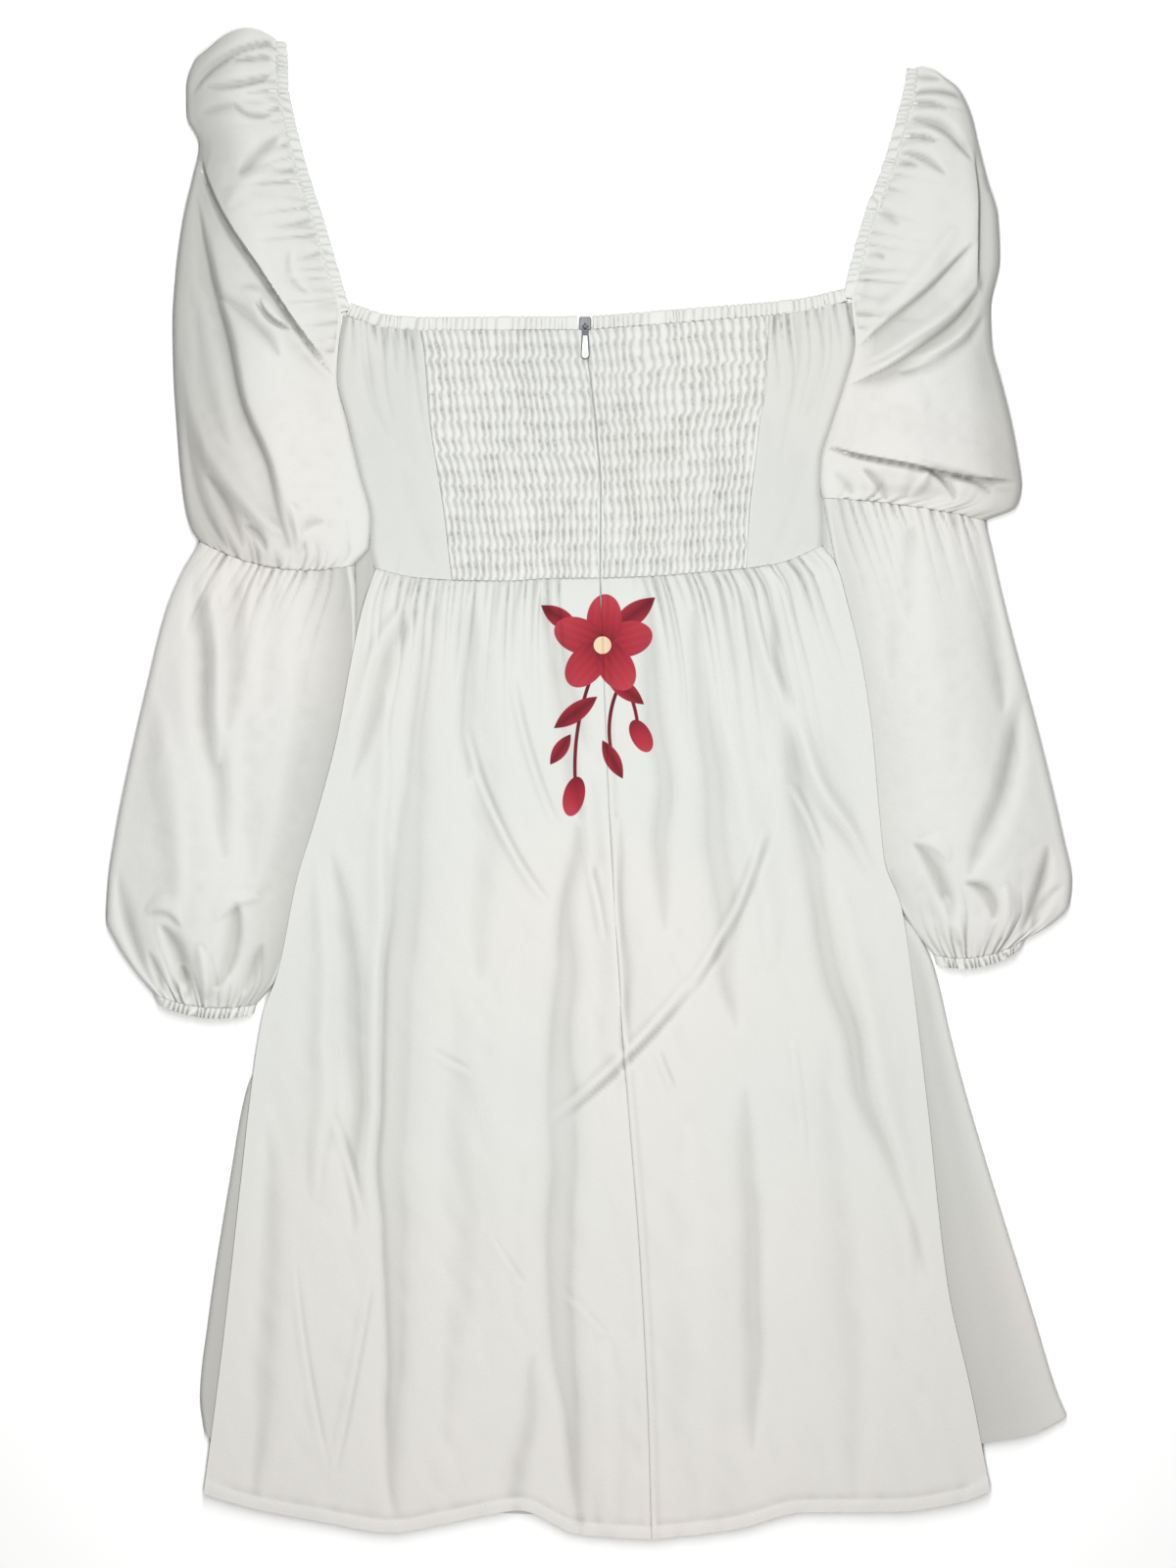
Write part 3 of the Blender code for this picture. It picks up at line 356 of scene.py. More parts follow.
def blend(tree, factor, a, b, way="MIX"):
    given = {"Factor": factor, "A": a, "B": b}
    return addNode(tree, "ShaderNodeMix", given, data_type="RGBA", blend_type=way).outputs["Result"]


def weaveGroup():
    # plain weave with slightly crinkled yarns
    tree, given, out = groupShell(
        "fineWeave",
        [("Threads per metre", "NodeSocketFloat", 2200.0), ("Crinkle", "NodeSocketFloat", 0.5)],
        [("Height", "NodeSocketFloat"), ("Tone", "NodeSocketFloat")],
    )
    place = tree.nodes.new("ShaderNodeTexCoord").outputs["Object"]
    axes = addNode(tree, "ShaderNodeSeparateXYZ", {0: place})
    crinkle = noise(tree, place, 900.0, 3.0)
    bend = mathNode(tree, "MULTIPLY", crinkle, 2.4)
    waves = []
    for axis in (0, 1):
        turns = mathNode(tree, "MULTIPLY", axes.outputs[axis], given.outputs["Threads per metre"])
        phase = mathNode(tree, "ADD", mathNode(tree, "MULTIPLY", turns, math.pi), bend)
        waves.append(mathNode(tree, "ABSOLUTE", mathNode(tree, "SINE", phase)))
    cloth = mathNode(tree, "MAXIMUM", waves[0], waves[1])
    rough = mathNode(tree, "MULTIPLY", crinkle, given.outputs["Crinkle"])
    feed(tree, out, {"Height": mathNode(tree, "ADD", cloth, rough), "Tone": cloth})
    return tree


def creaseGroup():
    # soft uneven crumple left in cloth that has been folded away
    tree, given, out = groupShell(
        "restCrumple",
        [("Size", "NodeSocketFloat", 40.0), ("Stretch", "NodeSocketFloat", 0.35)],
        [("Height", "NodeSocketFloat")],
    )
    place = tree.nodes.new("ShaderNodeTexCoord").outputs["Object"]
    axes = addNode(tree, "ShaderNodeSeparateXYZ", {0: place})
    drawn = mathNode(tree, "MULTIPLY", axes.outputs[1], given.outputs["Stretch"])
    joined = addNode(tree, "ShaderNodeCombineXYZ", {0: axes.outputs[0], 1: drawn, 2: axes.outputs[2]})
    broad = noise(tree, joined.outputs[0], given.outputs["Size"], distortion=0.6)
    small = noise(tree, joined.outputs[0], mathNode(tree, "MULTIPLY", given.outputs["Size"], 3.7))
    ridge = mathNode(tree, "ABSOLUTE", mathNode(tree, "SUBTRACT", small, 0.5))
    feed(tree, out, {"Height": mathNode(tree, "ADD", broad, mathNode(tree, "MULTIPLY", ridge, -0.5))})
    return tree


tints = {
    "light": (0.64, 0.645, 0.617, 1),
    "deep": (0.615, 0.63, 0.61, 1),
    "warm": (0.69, 0.655, 0.625, 1),
    "driftScale": 7.0,
    "blushScale": 4.2,
    "blushReach": (0.5, 0.72),
    "hemWarmth": (-0.10, -0.42),  # metres up the dress: none above the first, most below the second
    "warmest": 0.6,
    "yarnShade": 0.035,
}


def toneGroup():
    # slow drifts between two tints, with warm patches and a warmer lower skirt
    tree, given, out = groupShell(
        "clothTone",
        [
            ("Light", "NodeSocketColor", tints["light"]),
            ("Deep", "NodeSocketColor", tints["deep"]),
            ("Warm", "NodeSocketColor", tints["warm"]),
            ("Weave", "NodeSocketFloat", 0.0),
        ],
        [("Color", "NodeSocketColor"), ("Drift", "NodeSocketFloat")],
    )
    place = tree.nodes.new("ShaderNodeTexCoord").outputs["Object"]
    drift = noise(tree, place, tints["driftScale"], 3.0)
    blush = noise(tree, place, tints["blushScale"], 1.0)
    height = addNode(tree, "ShaderNodeSeparateXYZ", {0: place}).outputs[1]
    low = remap(tree, height, *tints["hemWarmth"], toMax=tints["warmest"], curve="SMOOTHSTEP")
    patches = remap(tree, blush, *tints["blushReach"], toMax=tints["warmest"])
    warmth = mathNode(tree, "ADD", patches, low, clamp=True)
    cool = blend(tree, drift, given.outputs["Light"], given.outputs["Deep"])
    warmed = blend(tree, warmth, cool, given.outputs["Warm"])
    shade = mathNode(tree, "MULTIPLY", given.outputs["Weave"], tints["yarnShade"])
    yarn = mathNode(tree, "SUBTRACT", 1.0, shade)
    feed(tree, out, {"Color": blend(tree, 1.0, warmed, yarn, "MULTIPLY"), "Drift": drift})
    return tree


# A printed spray on the skirt below the zip: one open flower, two buds and leaves on hanging stems
spray = {
    "centre": (8.0, 82.0),  # the open flower
    "petalOut": 15.0,
    "petalSize": (15.5, 10.5),
    "petalTurn": 14.0,
    "heart": 5.2,
    "stemWidth": 1.1,
    "buds": rows("x y length width turn", (31.0, 28.0, 10.5, 6.0, -62), (-9.0, -8.0, 12.0, 6.4, -103)),
    "leaves": rows(
        "x y length width turn",
        (26.0, 100.0, 17.0, 6.5, 38),
        (-17.0, 98.0, 14.0, 5.6, 146),
        (21.0, 56.0, 15.0, 5.2, -38),
        (-8.0, 42.0, 16.0, 5.4, 216),
        (14.0, 14.0, 13.0, 4.6, -62),
        (-17.0, 20.0, 11.0, 4.2, 236),
    ),
    "stems": rows("x0 y0 x1 y1 bow", (10, 74, 29, 34, 4), (6, 74, -8, -2, -5), (18, 58, 13, 20, -3)),
}


def placedAxes(tree, place, x, y, length, width, angle):
    # the two axes of a shape laid at (x, y), turned, and as long and wide as given, in millimetres
    given = {"Vector": place, "Location": (x * mm, y * mm, 0), "Rotation": (0, 0, angle),
             "Scale": (length * mm, width * mm, 1)}
    moved = addNode(tree, "ShaderNodeMapping", given, vector_type="TEXTURE")
    return addNode(tree, "ShaderNodeSeparateXYZ", {0: moved.outputs[0]}).outputs


def shapeMask(tree, place, x, y, length, width, turn, pointed):
    # 1 inside an ellipse or a leaf with its middle at (x, y), lengths as half axes, in millimetres
    axes = placedAxes(tree, place, x, y, length, width, math.radians(turn))
    u2 = mathNode(tree, "MULTIPLY", axes[0], axes[0])
    if pointed:
        far = mathNode(tree, "ADD", mathNode(tree, "ABSOLUTE", axes[1]), u2)
    else:
        far = mathNode(tree, "ADD", mathNode(tree, "MULTIPLY", axes[1], axes[1]), u2)
    return remap(tree, far, 1.04, 0.96), axes


def sprayGroup():
    outputs = [(label, "NodeSocketFloat") for label in ("Mask", "Shade", "Heart")]
    tree, _, out = groupShell("printedSpray", [], outputs)
    place = addNode(tree, "ShaderNodeTexCoord").outputs["Object"]
    flat = addNode(tree, "ShaderNodeVectorMath", {0: place, 1: (1, 1, 0)}, operation="MULTIPLY").outputs[0]
    cx, cy = spray["centre"]
    mask, shade = None, None

    def lay(found, tone):
        # each shape lies over the ones before it
        nonlocal mask, shade
        if mask is None:
            mask, shade = found, tone
            return
        keep = mathNode(tree, "MULTIPLY", shade, mathNode(tree, "SUBTRACT", 1.0, found))
        shade = mathNode(tree, "ADD", keep, mathNode(tree, "MULTIPLY", tone, found))
        mask = mathNode(tree, "MAXIMUM", mask, found)

    for stem in spray["stems"]:
        runX, runY = stem.x1 - stem.x0, stem.y1 - stem.y0
        length = math.hypot(runX, runY)
        u, v, _ = placedAxes(tree, flat, stem.x0, stem.y0, length, length, math.atan2(runY, runX))
        bend = mathNode(tree, "MULTIPLY", u, mathNode(tree, "SUBTRACT", 1.0, u))
        arch = mathNode(tree, "MULTIPLY", bend, 4 * stem.bow / length)
        side = mathNode(tree, "ABSOLUTE", mathNode(tree, "SUBTRACT", v, arch))
        half = spray["stemWidth"] / length
        line = remap(tree, side, half * 1.15, half * 0.85)
        fromMiddle = mathNode(tree, "ABSOLUTE", mathNode(tree, "SUBTRACT", u, 0.5))
        ends = remap(tree, fromMiddle, 0.505, 0.495)
        lay(mathNode(tree, "MULTIPLY", line, ends), mathNode(tree, "MULTIPLY", u, 0.2))
    for leaf in spray["leaves"]:
        found, axes = shapeMask(tree, flat, leaf.x, leaf.y, leaf.length, leaf.width, leaf.turn, True)
        vein = mathNode(tree, "ABSOLUTE", axes[1])
        lay(found, mathNode(tree, "ADD", mathNode(tree, "MULTIPLY", vein, 0.35), 0.12))
    for bud in spray["buds"]:
        found, axes = shapeMask(tree, flat, bud.x, bud.y, bud.length, bud.width, bud.turn, False)
        lay(found, mathNode(tree, "ADD", mathNode(tree, "MULTIPLY", axes[0], 0.4), 0.55))
    for k in range(5):
        turn = spray["petalTurn"] + 72 * k
        px = cx + spray["petalOut"] * math.cos(math.radians(turn))
        py = cy + spray["petalOut"] * math.sin(math.radians(turn))
        found, axes = shapeMask(tree, flat, px, py, *spray["petalSize"], turn, False)
        streak = mathNode(tree, "SINE", mathNode(tree, "MULTIPLY", axes[1], 15.0))
        tone = mathNode(tree, "ADD", mathNode(tree, "MULTIPLY", axes[0], 0.42), 0.55)
        lay(found, mathNode(tree, "ADD", tone, mathNode(tree, "MULTIPLY", streak, 0.05)))
    heart, _ = shapeMask(tree, flat, cx, cy, spray["heart"], spray["heart"], 0, False)
    shade = mathNode(tree, "MULTIPLY", shade, 1.0, clamp=True)
    feed(tree, out, {"Mask": mathNode(tree, "MAXIMUM", mask, heart), "Shade": shade, "Heart": heart})
    return tree


def handlingGroup():
    # fine rub marks and smudges on metal and enamel
    tree, given, out = groupShell(
        "handlingMarks",
        [("Amount", "NodeSocketFloat", 0.2), ("Base", "NodeSocketFloat", 0.3)],
        [("Roughness", "NodeSocketFloat"), ("Height", "NodeSocketFloat")],
    )
    place = tree.nodes.new("ShaderNodeTexCoord").outputs["Object"]
    drawn = addNode(tree, "ShaderNodeMapping", {"Vector": place, "Scale": (900, 120, 900)})
    marks = noise(tree, drawn.outputs[0], 1.0, 4.0)
    varied = mathNode(tree, "MULTIPLY", marks, given.outputs["Amount"])
    feed(tree, out, {"Roughness": mathNode(tree, "ADD", varied, given.outputs["Base"]), "Height": marks})
    return tree


weave, crumple, tone = weaveGroup(), creaseGroup(), toneGroup()
sprayPrint, handling = sprayGroup(), handlingGroup()

cloth = {
    "threads": 2300.0,
    "crinkle": 2.4,
    "weaveDepth": 0.11,  # millimetres
    "crumpleDepth": 0.9,
    "crumpleSize": 26.0,
    "roughness": 0.84,
    "roughnessDrift": 0.06,
    # painted shade: the darker tone that the cloth's colour moves towards where less light comes in
    "paintedShadeTone": (0.70, 0.70, 0.69, 1),
    "sheen": 0.12,
    "sheenRoughness": 0.4,
    "specular": 0.15,
    "crumpleStrength": 0.5,
    "weaveStrength": 0.6,
    "red": (0.31, 0.024, 0.037, 1),
    "maroon": (0.085, 0.012, 0.02, 1),
    "rose": (0.43, 0.047, 0.066, 1),
    "straw": (0.70, 0.55, 0.36, 1),
}


def placeGroup(tree, group, **values):
    node = addNode(tree, "ShaderNodeGroup", node_tree=group)
    feed(tree, node, {label.replace("_", " "): value for label, value in values.items()})
    return node


def newMaterial(name):
    material = bpy.data.materials.new(name)
    material.use_nodes = True
    return material, material.node_tree, material.node_tree.nodes["Principled BSDF"]


def addBump(tree, height, strength, distance, normal=None):
    given = {"Height": height, "Strength": strength, "Distance": distance * mm}
    if normal:
        given["Normal"] = normal
    return addNode(tree, "ShaderNodeBump", given).outputs[0]


def clothMaterial(name, printed=False, depth=1.0, light=None):
    material, tree, shader = newMaterial(name)
    yarns = placeGroup(tree, weave, Threads_per_metre=cloth["threads"], Crinkle=cloth["crinkle"])
    rumple = placeGroup(tree, crumple, Size=cloth["crumpleSize"])
    colour = placeGroup(tree, tone, Weave=yarns.outputs["Tone"], Light=light or tints["light"])
    shown = colour.outputs["Color"]
    if printed:
        pattern = placeGroup(tree, sprayPrint)
        ramp = tree.nodes.new("ShaderNodeValToRGB")
        stops = ramp.color_ramp.elements
        stops[0].position, stops[0].color = 0.0, cloth["maroon"]
        stops[1].position, stops[1].color = 1.0, cloth["rose"]
        stops.new(0.45).color = cloth["red"]
        feed(tree, ramp, {"Fac": pattern.outputs["Shade"]})
        inks = blend(tree, pattern.outputs["Heart"], ramp.outputs["Color"], cloth["straw"])
        shown = blend(tree, pattern.outputs["Mask"], shown, inks)
    # painted shade: the base colour is multiplied towards a darker tone by a point attribute on each piece,
    # darkest in creases, on sleeve flanks, at flap tucks and along edges tucked under other pieces
    paintedShade = addNode(tree, "ShaderNodeAttribute", attribute_name="paintedShade")
    drift = cloth["roughnessDrift"]
    least, most = cloth["roughness"] - drift, cloth["roughness"] + drift
    wide = addBump(tree, rumple.outputs["Height"], cloth["crumpleStrength"] * depth, cloth["crumpleDepth"])
    feed(tree, shader, {
        "Base Color": blend(tree, paintedShade.outputs["Fac"], shown, cloth["paintedShadeTone"], "MULTIPLY"),
        "Roughness": remap(tree, colour.outputs["Drift"], 0.0, 1.0, least, most),
        "Normal": addBump(tree, yarns.outputs["Height"], cloth["weaveStrength"], cloth["weaveDepth"], wide),
        "Sheen Weight": cloth["sheen"],
        "Sheen Roughness": cloth["sheenRoughness"],
        "Specular IOR Level": cloth["specular"],
    })
    return material


def hardMaterial(name, colour, metallic, base, amount, coat=0.0):
    material, tree, shader = newMaterial(name)
    marks = placeGroup(tree, handling, Base=base, Amount=amount)
    darker = tuple(c * 0.86 for c in colour[:3]) + (1,)
    feed(tree, shader, {
        "Base Color": blend(tree, marks.outputs["Height"], colour, darker),
        "Roughness": marks.outputs["Roughness"],
        "Normal": addBump(tree, marks.outputs["Height"], 0.2, 0.02),
        "Metallic": metallic,
        "Coat Weight": coat,
    })
    return material


plainCloth = clothMaterial("offWhiteCrepe")
printedCloth = clothMaterial("printedCrepe", printed=True)
# painted light: a lighter, warmer copy of the same crepe for the sleeves
litSleeveCloth = clothMaterial("litSleeveCrepe", light=(0.665, 0.655, 0.63, 1))
# painted shade: a darker copy of the same crepe for the bodice sides
shadedSideCloth = clothMaterial("shadedSideCrepe", light=(0.555, 0.562, 0.535, 1))
# painted light: a lighter copy of the same crepe for the shirred panels and elastic strips, also with less
# crumple
litTightCloth = clothMaterial("litShirredCrepe", depth=0.2, light=(0.75, 0.75, 0.725, 1))
threadFinish = hardMaterial("sewingThread", (0.80, 0.80, 0.77, 1), 0.0, 0.55, 0.2)
metalFinish = hardMaterial("zipMetal", (0.17, 0.175, 0.18, 1), 1.0, 0.42, 0.25)
enamelFinish = hardMaterial("whiteEnamel", (0.86, 0.86, 0.85, 1), 0.0, 0.16, 0.2, coat=0.4)
outlineFinish = hardMaterial("pullRim", (0.10, 0.105, 0.11, 1), 1.0, 0.45, 0.2)
tapeFinish = clothMaterial("zipTape", depth=0.1, light=(0.60, 0.61, 0.60, 1))
print("materials made")


def finishPiece(piece, material, node=None, body="dress"):
    piece.data.materials.append(material)
    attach(piece, body)
    if node:
        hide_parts(node)
    return piece


# Edges of the flat pieces seen from above, the same as the solids under them
edges = {
    "centreBack": [(-1, 270), (-0.5, 253), (1, 240), (5, 202), (7, 177), (6.6, 122.3)],
    "smockLeft": [(-100, 270), (-98, 253), (-95, 215), (-91, 189), (-87, 164), (-82, 121.3)],
    "smockRight": [(107, 278.6), (106, 240), (102, 215), (99, 189), (96, 164), (94, 128.2)],
    "sideLeft": [(-145.9, 278.6), (-149.3, 243), (-142.9, 214.7), (-136.2, 185.4), (-129.5, 157),
                 (-129.6, 142), (-126.9, 128.4)],
    "sideRight": [(156.2, 286), (157.8, 262.7), (151.4, 238.1), (143.8, 214.7), (137.4, 192.5),
                  (137.0, 176), (138.6, 158), (138.4, 141.8)],
    "bandLeft": [(-143.2, 282.4), (-138.5, 280.6), (-121.5, 275.4), (-100, 273.7), (-50, 274), (-6.8, 274.2)],
    "bandRight": [(2.2, 274.4), (25.7, 276.2), (66, 279.4), (102, 282.2), (124, 284.4), (147.6, 289.6),
                  (152.4, 291.4)],
    "skirtLeft": [(-127, 128), (-135, 103), (-142, 70), (-150, 27), (-163, -22), (-174, -58), (-185, -112),
                  (-194, -138), (-201, -182), (-207, -235), (-218, -334), (-229.3, -423)],
    "skirtRight": [(138.5, 141.5), (147, 130), (154, 106), (162, 73), (168, 35), (173, -20), (176, -47),
                   (186, -74), (192, -114), (201, -188), (213.5, -299), (227.6, -363), (238.7, -421.2)],
    "centreSeam": [(6.6, 122.3), (11, 0), (21, -164), (30, -281), (35, -377), (37, -450)],
    "waistLeft": [(-127, 128), (-105, 122.8), (-82, 121), (-49, 120.5), (-24, 122), (6.6, 122.3)],
    "waistRight": [(6.6, 122.3), (38, 123.4), (70, 126), (94, 128), (115, 131.6), (138.5, 141.5)],
    "hemLeft": [(-229.3, -423), (-198, -432), (-162, -439), (-117, -446), (-83, -440), (-41, -433),
                (-6, -447), (37, -450)],
    "hemRight": [(37, -450), (84, -444.6), (128, -434), (183, -433.5), (222, -427.6), (238.7, -421.2)],
}

heights = {"backUnder": 1.6, "backTop": 2.9, "skirt": 7.4, "flap": 5.0, "flapBulge": 2.0, "seamGap": 0.06,
           "zipGap": 0.45}

skirt = {
    "rows": 300,
    "columns": 212,
    "rowGrowth": 1.15,
    "waistEase": 18.0,
    "foldScale": 1.9,
    "creaseScale": 1.7,
    "lowest": 2.4,
    "waistFree": 30.0,
    "easing": 2,
    "sideFade": 11.0,
    "zipEnd": 100.0,
    "broadCreaseShade": (14, 22, 9.0),  # window down and across in steps, and depth in millimetres
    "fineCreaseShade": (2, 3, 0.8),
    "foldStart": 12.0,  # how far below the waist the folds reach their full height
    # soft unevenness: height, slant, stretch down the skirt, size and seed
    "crumples": ((0.5, 0.0, 0.35, 26.0, 8), (0.22, 0.3, 0.5, 9.0, 9)),
    "hemDepth": 7.0,
    "hemRise": 1.0,
    "hemEdge": 0.8,
    "hemRipple": 0.45,
    "seamRidge": {"Left": 0.15, "Right": 0.9},
    "ridgeAside": 1.9,
    "ridgeWide": 1.6,
    "seamDip": 0.25,
    "dipWide": 1.2,
    "folds": rows(
        foldColumns,
        (-92, 108, -115, -440, -14, 9, 13, -3.2, 0),
        (-119, 60, -122, -380, -6, 6, 4, 1.2, 0),
        (-72, 118, -72, 0, 2, 6, 6, -1.8, 0),
        (-27, 118, -6, -24, 2, 7, 8, -2.6, 0),
        (-14, 40, 0, -60, 4, 6, 5, 1.3, 0),
        (-8, -20, -3, -450, -12, 9, 10, -3.2, 0),
        (16, -20, 19, -180, 0, 9, 4, 1.8, 0),
        (32, 118, 46, -90, 3, 7, 7, -2.2, 0),
        (61, 104, 86, -150, 3, 8, 9, -2.6, 0),
        (76, 60, 112, -110, 2, 7, 7, 1.0, 0),
        (94, -180, 98, -400, 2, 9, 7, -2.0, 0),
        (93, 122, 174, -62, -9, 6, 6, 2.4, 0.8),
        (112, 112, 204, -300, -16, 7, 7, -2.2, 0),
        (150, -60, 192, -300, 4, 8, 8, 1.2, 0),
        (-150, -40, -140, -270, 5, 8, 7, -2.0, 0),
        (-161, -40, -162, -250, 3, 6, 6, 1.3, 0),
        (-106, 116, -176, -50, -4, 6, 7, 2.2, -0.6),
        (-100, 110, -140, 0, -3, 5, 5, -1.6, 0),
        (-60, 80, -64, -120, 0, 10, 10, -1.4, 0),
        (-80, -120, -84, -400, 3, 12, 12, -1.0, 0),
        (-45, -100, -50, -330, -4, 12, 12, 0.9, 0),
        (60, -200, 70, -440, 2, 10, 12, 1.1, 0),
        (140, -150, 160, -430, 3, 12, 12, -1.2, 0),
        (-190, -200, -200, -430, 2, 9, 9, -1.3, 0),
        (-30, -340, -44, -450, -2, 8, 8, -1.3, 0),
        (10, -330, 12, -450, 1, 8, 8, 1.2, 0),
    ),
    "creases": rows(
        "x0 y0 x1 y1 bow width height",
        (-74, 34, -24, -74, -7, 1.8, 0.7),
        (-46, 62, -20, -26, -3, 1.7, 0.5),
        (-2, -44, 8, -96, 1, 1.7, 0.45),
        (105, -26, 58, -124, 5, 2.1, 0.95),
        (60, -118, -24, -201, 4, 2.3, 1.0),
        (40, -160, 50, -184, 0, 1.4, 0.35),
        (119, 0, 138, -44, 1, 1.8, 0.5),
        (-130, -290, -153, -412, 1, 1.6, 0.32),
        (-177, -284, -156, -412, -2, 1.6, 0.28),
        (-154, -196, -136, -262, 2, 1.8, 0.4),
        (-96, -160, -70, -174, 0, 1.8, 0.25),
        (-60, -270, -40, -300, 0, 1.8, 0.22),
        (120, -150, 128, -230, 1, 1.8, 0.15),
        (-20, -300, 10, -330, 0, 1.8, 0.2),
    ),
    "gathersLeft": gatherList(27, 3.6, 40.0, 1.3, 21, gaps=[(0.82, 1.0)]),
    "gathersRight": gatherList(30, 3.6, 42.0, 1.3, 22, gaps=[(0.0, 0.18)]),
}


def skirtHeight(places, side, outerSide):
    x, y = places[..., 0], places[..., 1]
    across = np.linspace(0, 1, places.shape[1])[None, :]
    fallen = places[0, :, 1] - y
    bottom = y - places[-1, :, 1]
    eased = np.clip(fallen / skirt["waistEase"], 0, 1) ** 0.7
    loft = heights["backTop"] + (heights["skirt"] - heights["backTop"]) * eased
    fromEdge = np.abs(x - x[:, outerSide][:, None])
    inside = 1 - np.exp(-((fromEdge / skirt["sideFade"]) ** 2))
    folds, leanX, leanY = foldRelief(skirt["folds"], x, y, wobble=3.0, seed=5)
    started = np.clip(fallen / skirt["foldStart"], 0, 1)
    height = loft + skirt["foldScale"] * inside * started * folds
    for rise, slant, stretch, size, seed in skirt["crumples"]:
        height += rise * inside * started * softNoise(x + slant * y, y * stretch, size, seed)
    height += skirt["creaseScale"] * inside * creaseRelief(skirt["creases"], x, y)
    seamLength = places[0, -1, 0] - places[0, 0, 0]
    gathered = gatherRelief(skirt["gathers" + side], across, fallen, seamLength)
    height += gathered * np.clip(0.6 + fallen / 6.0, 0, 1) * (0.3 + 0.7 * inside)
    seamSide = -1 if outerSide == 0 else 0
    fromSeam = np.abs(x - x[:, seamSide][:, None])
    ridge = np.exp(-(((fromSeam - skirt["ridgeAside"]) / skirt["ridgeWide"]) ** 2))
    height += skirt["seamRidge"][side] * started * ridge
    height -= skirt["seamDip"] * started * np.exp(-((fromSeam / skirt["dipWide"]) ** 2))
    fold = np.clip((skirt["hemDepth"] - bottom) / skirt["hemEdge"], 0, 1)
    nearHem = np.clip((skirt["hemDepth"] + 5 - bottom) / 6, 0, 1)
    ripple = skirt["hemRipple"] * softNoise(x, y * 0.2, 6.0, 14) * nearHem
    height += skirt["hemRise"] * fold + ripple
    # folds flatten out softly above the front skirt, less so right below the waist
    low = skirt["lowest"] * np.clip(fallen / skirt["waistFree"], 0.5, 1)
    easing = skirt["easing"]
    softened = low + easing * np.exp((np.minimum(height, low + easing) - low - easing) / easing)
    height = np.where(height > low + easing, height, softened)
    # painted shade: the skirt's colour darkens where it lies below the cloth around it, over a broad and a
    # fine window, fading out towards its outer edge
    paintedShade = hollowOf(height - loft, skirt["broadCreaseShade"][:2], skirt["broadCreaseShade"][2])
    paintedShade = paintedShade + hollowOf(height - loft, skirt["fineCreaseShade"][:2], skirt["fineCreaseShade"][2])
    return height, inside * started * leanX, inside * started * leanY, np.clip(paintedShade * inside, 0, 1)


def makeSkirtBack(name, side, top, bottom, left, right, outerSide):
    across = np.linspace(0, 1, skirt["columns"] + 1)
    down = np.linspace(0, 1, skirt["rows"] + 1) ** skirt["rowGrowth"]
    places = panelPlaces(edges[top], edges[bottom], edges[left], edges[right], across, down)
    gap = heights["seamGap"]
    places = insetPlaces(places, top=gap, left=gap / 2, right=gap / 2)
    height, leanX, leanY, paintedShade = skirtHeight(places, side, outerSide)
    opened = np.clip((places[..., 1] - skirt["zipEnd"]) / 8.0, 0, 1) * (heights["zipGap"] - gap / 2)
    centre = -1 if outerSide == 0 else 0
    places[:, centre, 0] += opened[:, centre] * (-1 if outerSide == 0 else 1)
    outer = np.stack([places[..., 0] + leanX, places[..., 1] + leanY, height], axis=-1)
    piece = clothWall(name + "_cloth", outer, skip=4, plain=slice(None), above=1.7, paintedShade=paintedShade)
    finishPiece(piece, printedCloth, name)
    return piece, outer


skirtBackLeft, skirtLeftGrid = makeSkirtBack(
    "skirt_back_left", "Left", "waistLeft", "hemLeft", "skirtLeft", "centreSeam", 0)
skirtBackRight, skirtRightGrid = makeSkirtBack(
    "skirt_back_right", "Right", "waistRight", "hemRight", "centreSeam", "skirtRight", -1)
print("back skirt made")

# Front skirt: it lies on the surface and turns up at both sides, where it shows past the back
frontSkirt = {
    "rows": 110,
    "outline": rows(
        "y left right tuckLeft tuckRight",
        (122, -140.0, 147.4, -127.2, 138.2),
        (112, -139.6, 149.2, -128.5, 138.6),
        (100, -139.4, 151.4, -128.5, 141),
        (70, -140.2, 155.6, -126, 148),
        (27, -145.5, 163.8, -134, 157),
        (-22, -158, 167.6, -146, 161),
        (-58, -168.4, 176.5, -156, 166),
        (-72, -172, 190.3, -160, 172),
        (-84, -175, 198.6, -163, 177),
        (-96, -178.2, 204.3, -166, 180.6),
        (-114, -183.2, 209.5, -171.4, 185.4),
        (-134, -190, 214.0, -178, 189),
        (-164, -204, 221.6, -186, 192.5),
        (-217, -213.5, 236.9, -193, 198.5),
        (-310, -226.8, 265, -204, 209.5),
        (-361, -231.7, 278.9, -210, 221.5),
        (-378, -229, 284.8, -213, 225),
    ),
    "hem": [(-232, -384), (-200, -412), (-100, -433), (0, -437), (100, -428), (200, -402), (240, -392),
            (262, -388), (287, -376)],
    "cornerLift": [(-140, 8.6), (-138.3, 10.2), (-135.7, 13.6), (-133, 17), (-130.9, 20.6), (-130.2, 25),
                   (-126.6, 25), (-126.0, 0), (136.5, 0), (137.0, 50), (139.2, 48.5), (140.8, 41),
                   (143.3, 30), (147.4, 8)],
    "flapShades": ((1.0, 0.9), (1.0, 0.0)),  # how much less light comes in at each tuck and outline
    "flapSteps": (14, 34),
    "turnSteps": 9,
    "flatSteps": 26,
}


def turnedSide(outline, tuckTo, top, bulge, steps):
    radius = top / 2
    way = math.copysign(1, tuckTo - outline)
    angles = np.linspace(math.pi / 2, -math.pi / 2, frontSkirt["turnSteps"])
    turnX = outline + way * radius * (1 - np.cos(angles))
    turnZ = radius * (1 + np.sin(angles))
    flap = np.linspace(0, 1, steps + 1)[:-1]
    flapX = tuckTo + (outline + way * radius - tuckTo) * flap
    flapZ = top + bulge * np.sin(math.pi * flap) ** 2
    flapZ += 0.35 * np.sin(math.pi * flap) * np.sin(9 * flap + tuckTo * 0.05)
    return np.concatenate([flapX, turnX]), np.concatenate([flapZ, turnZ])


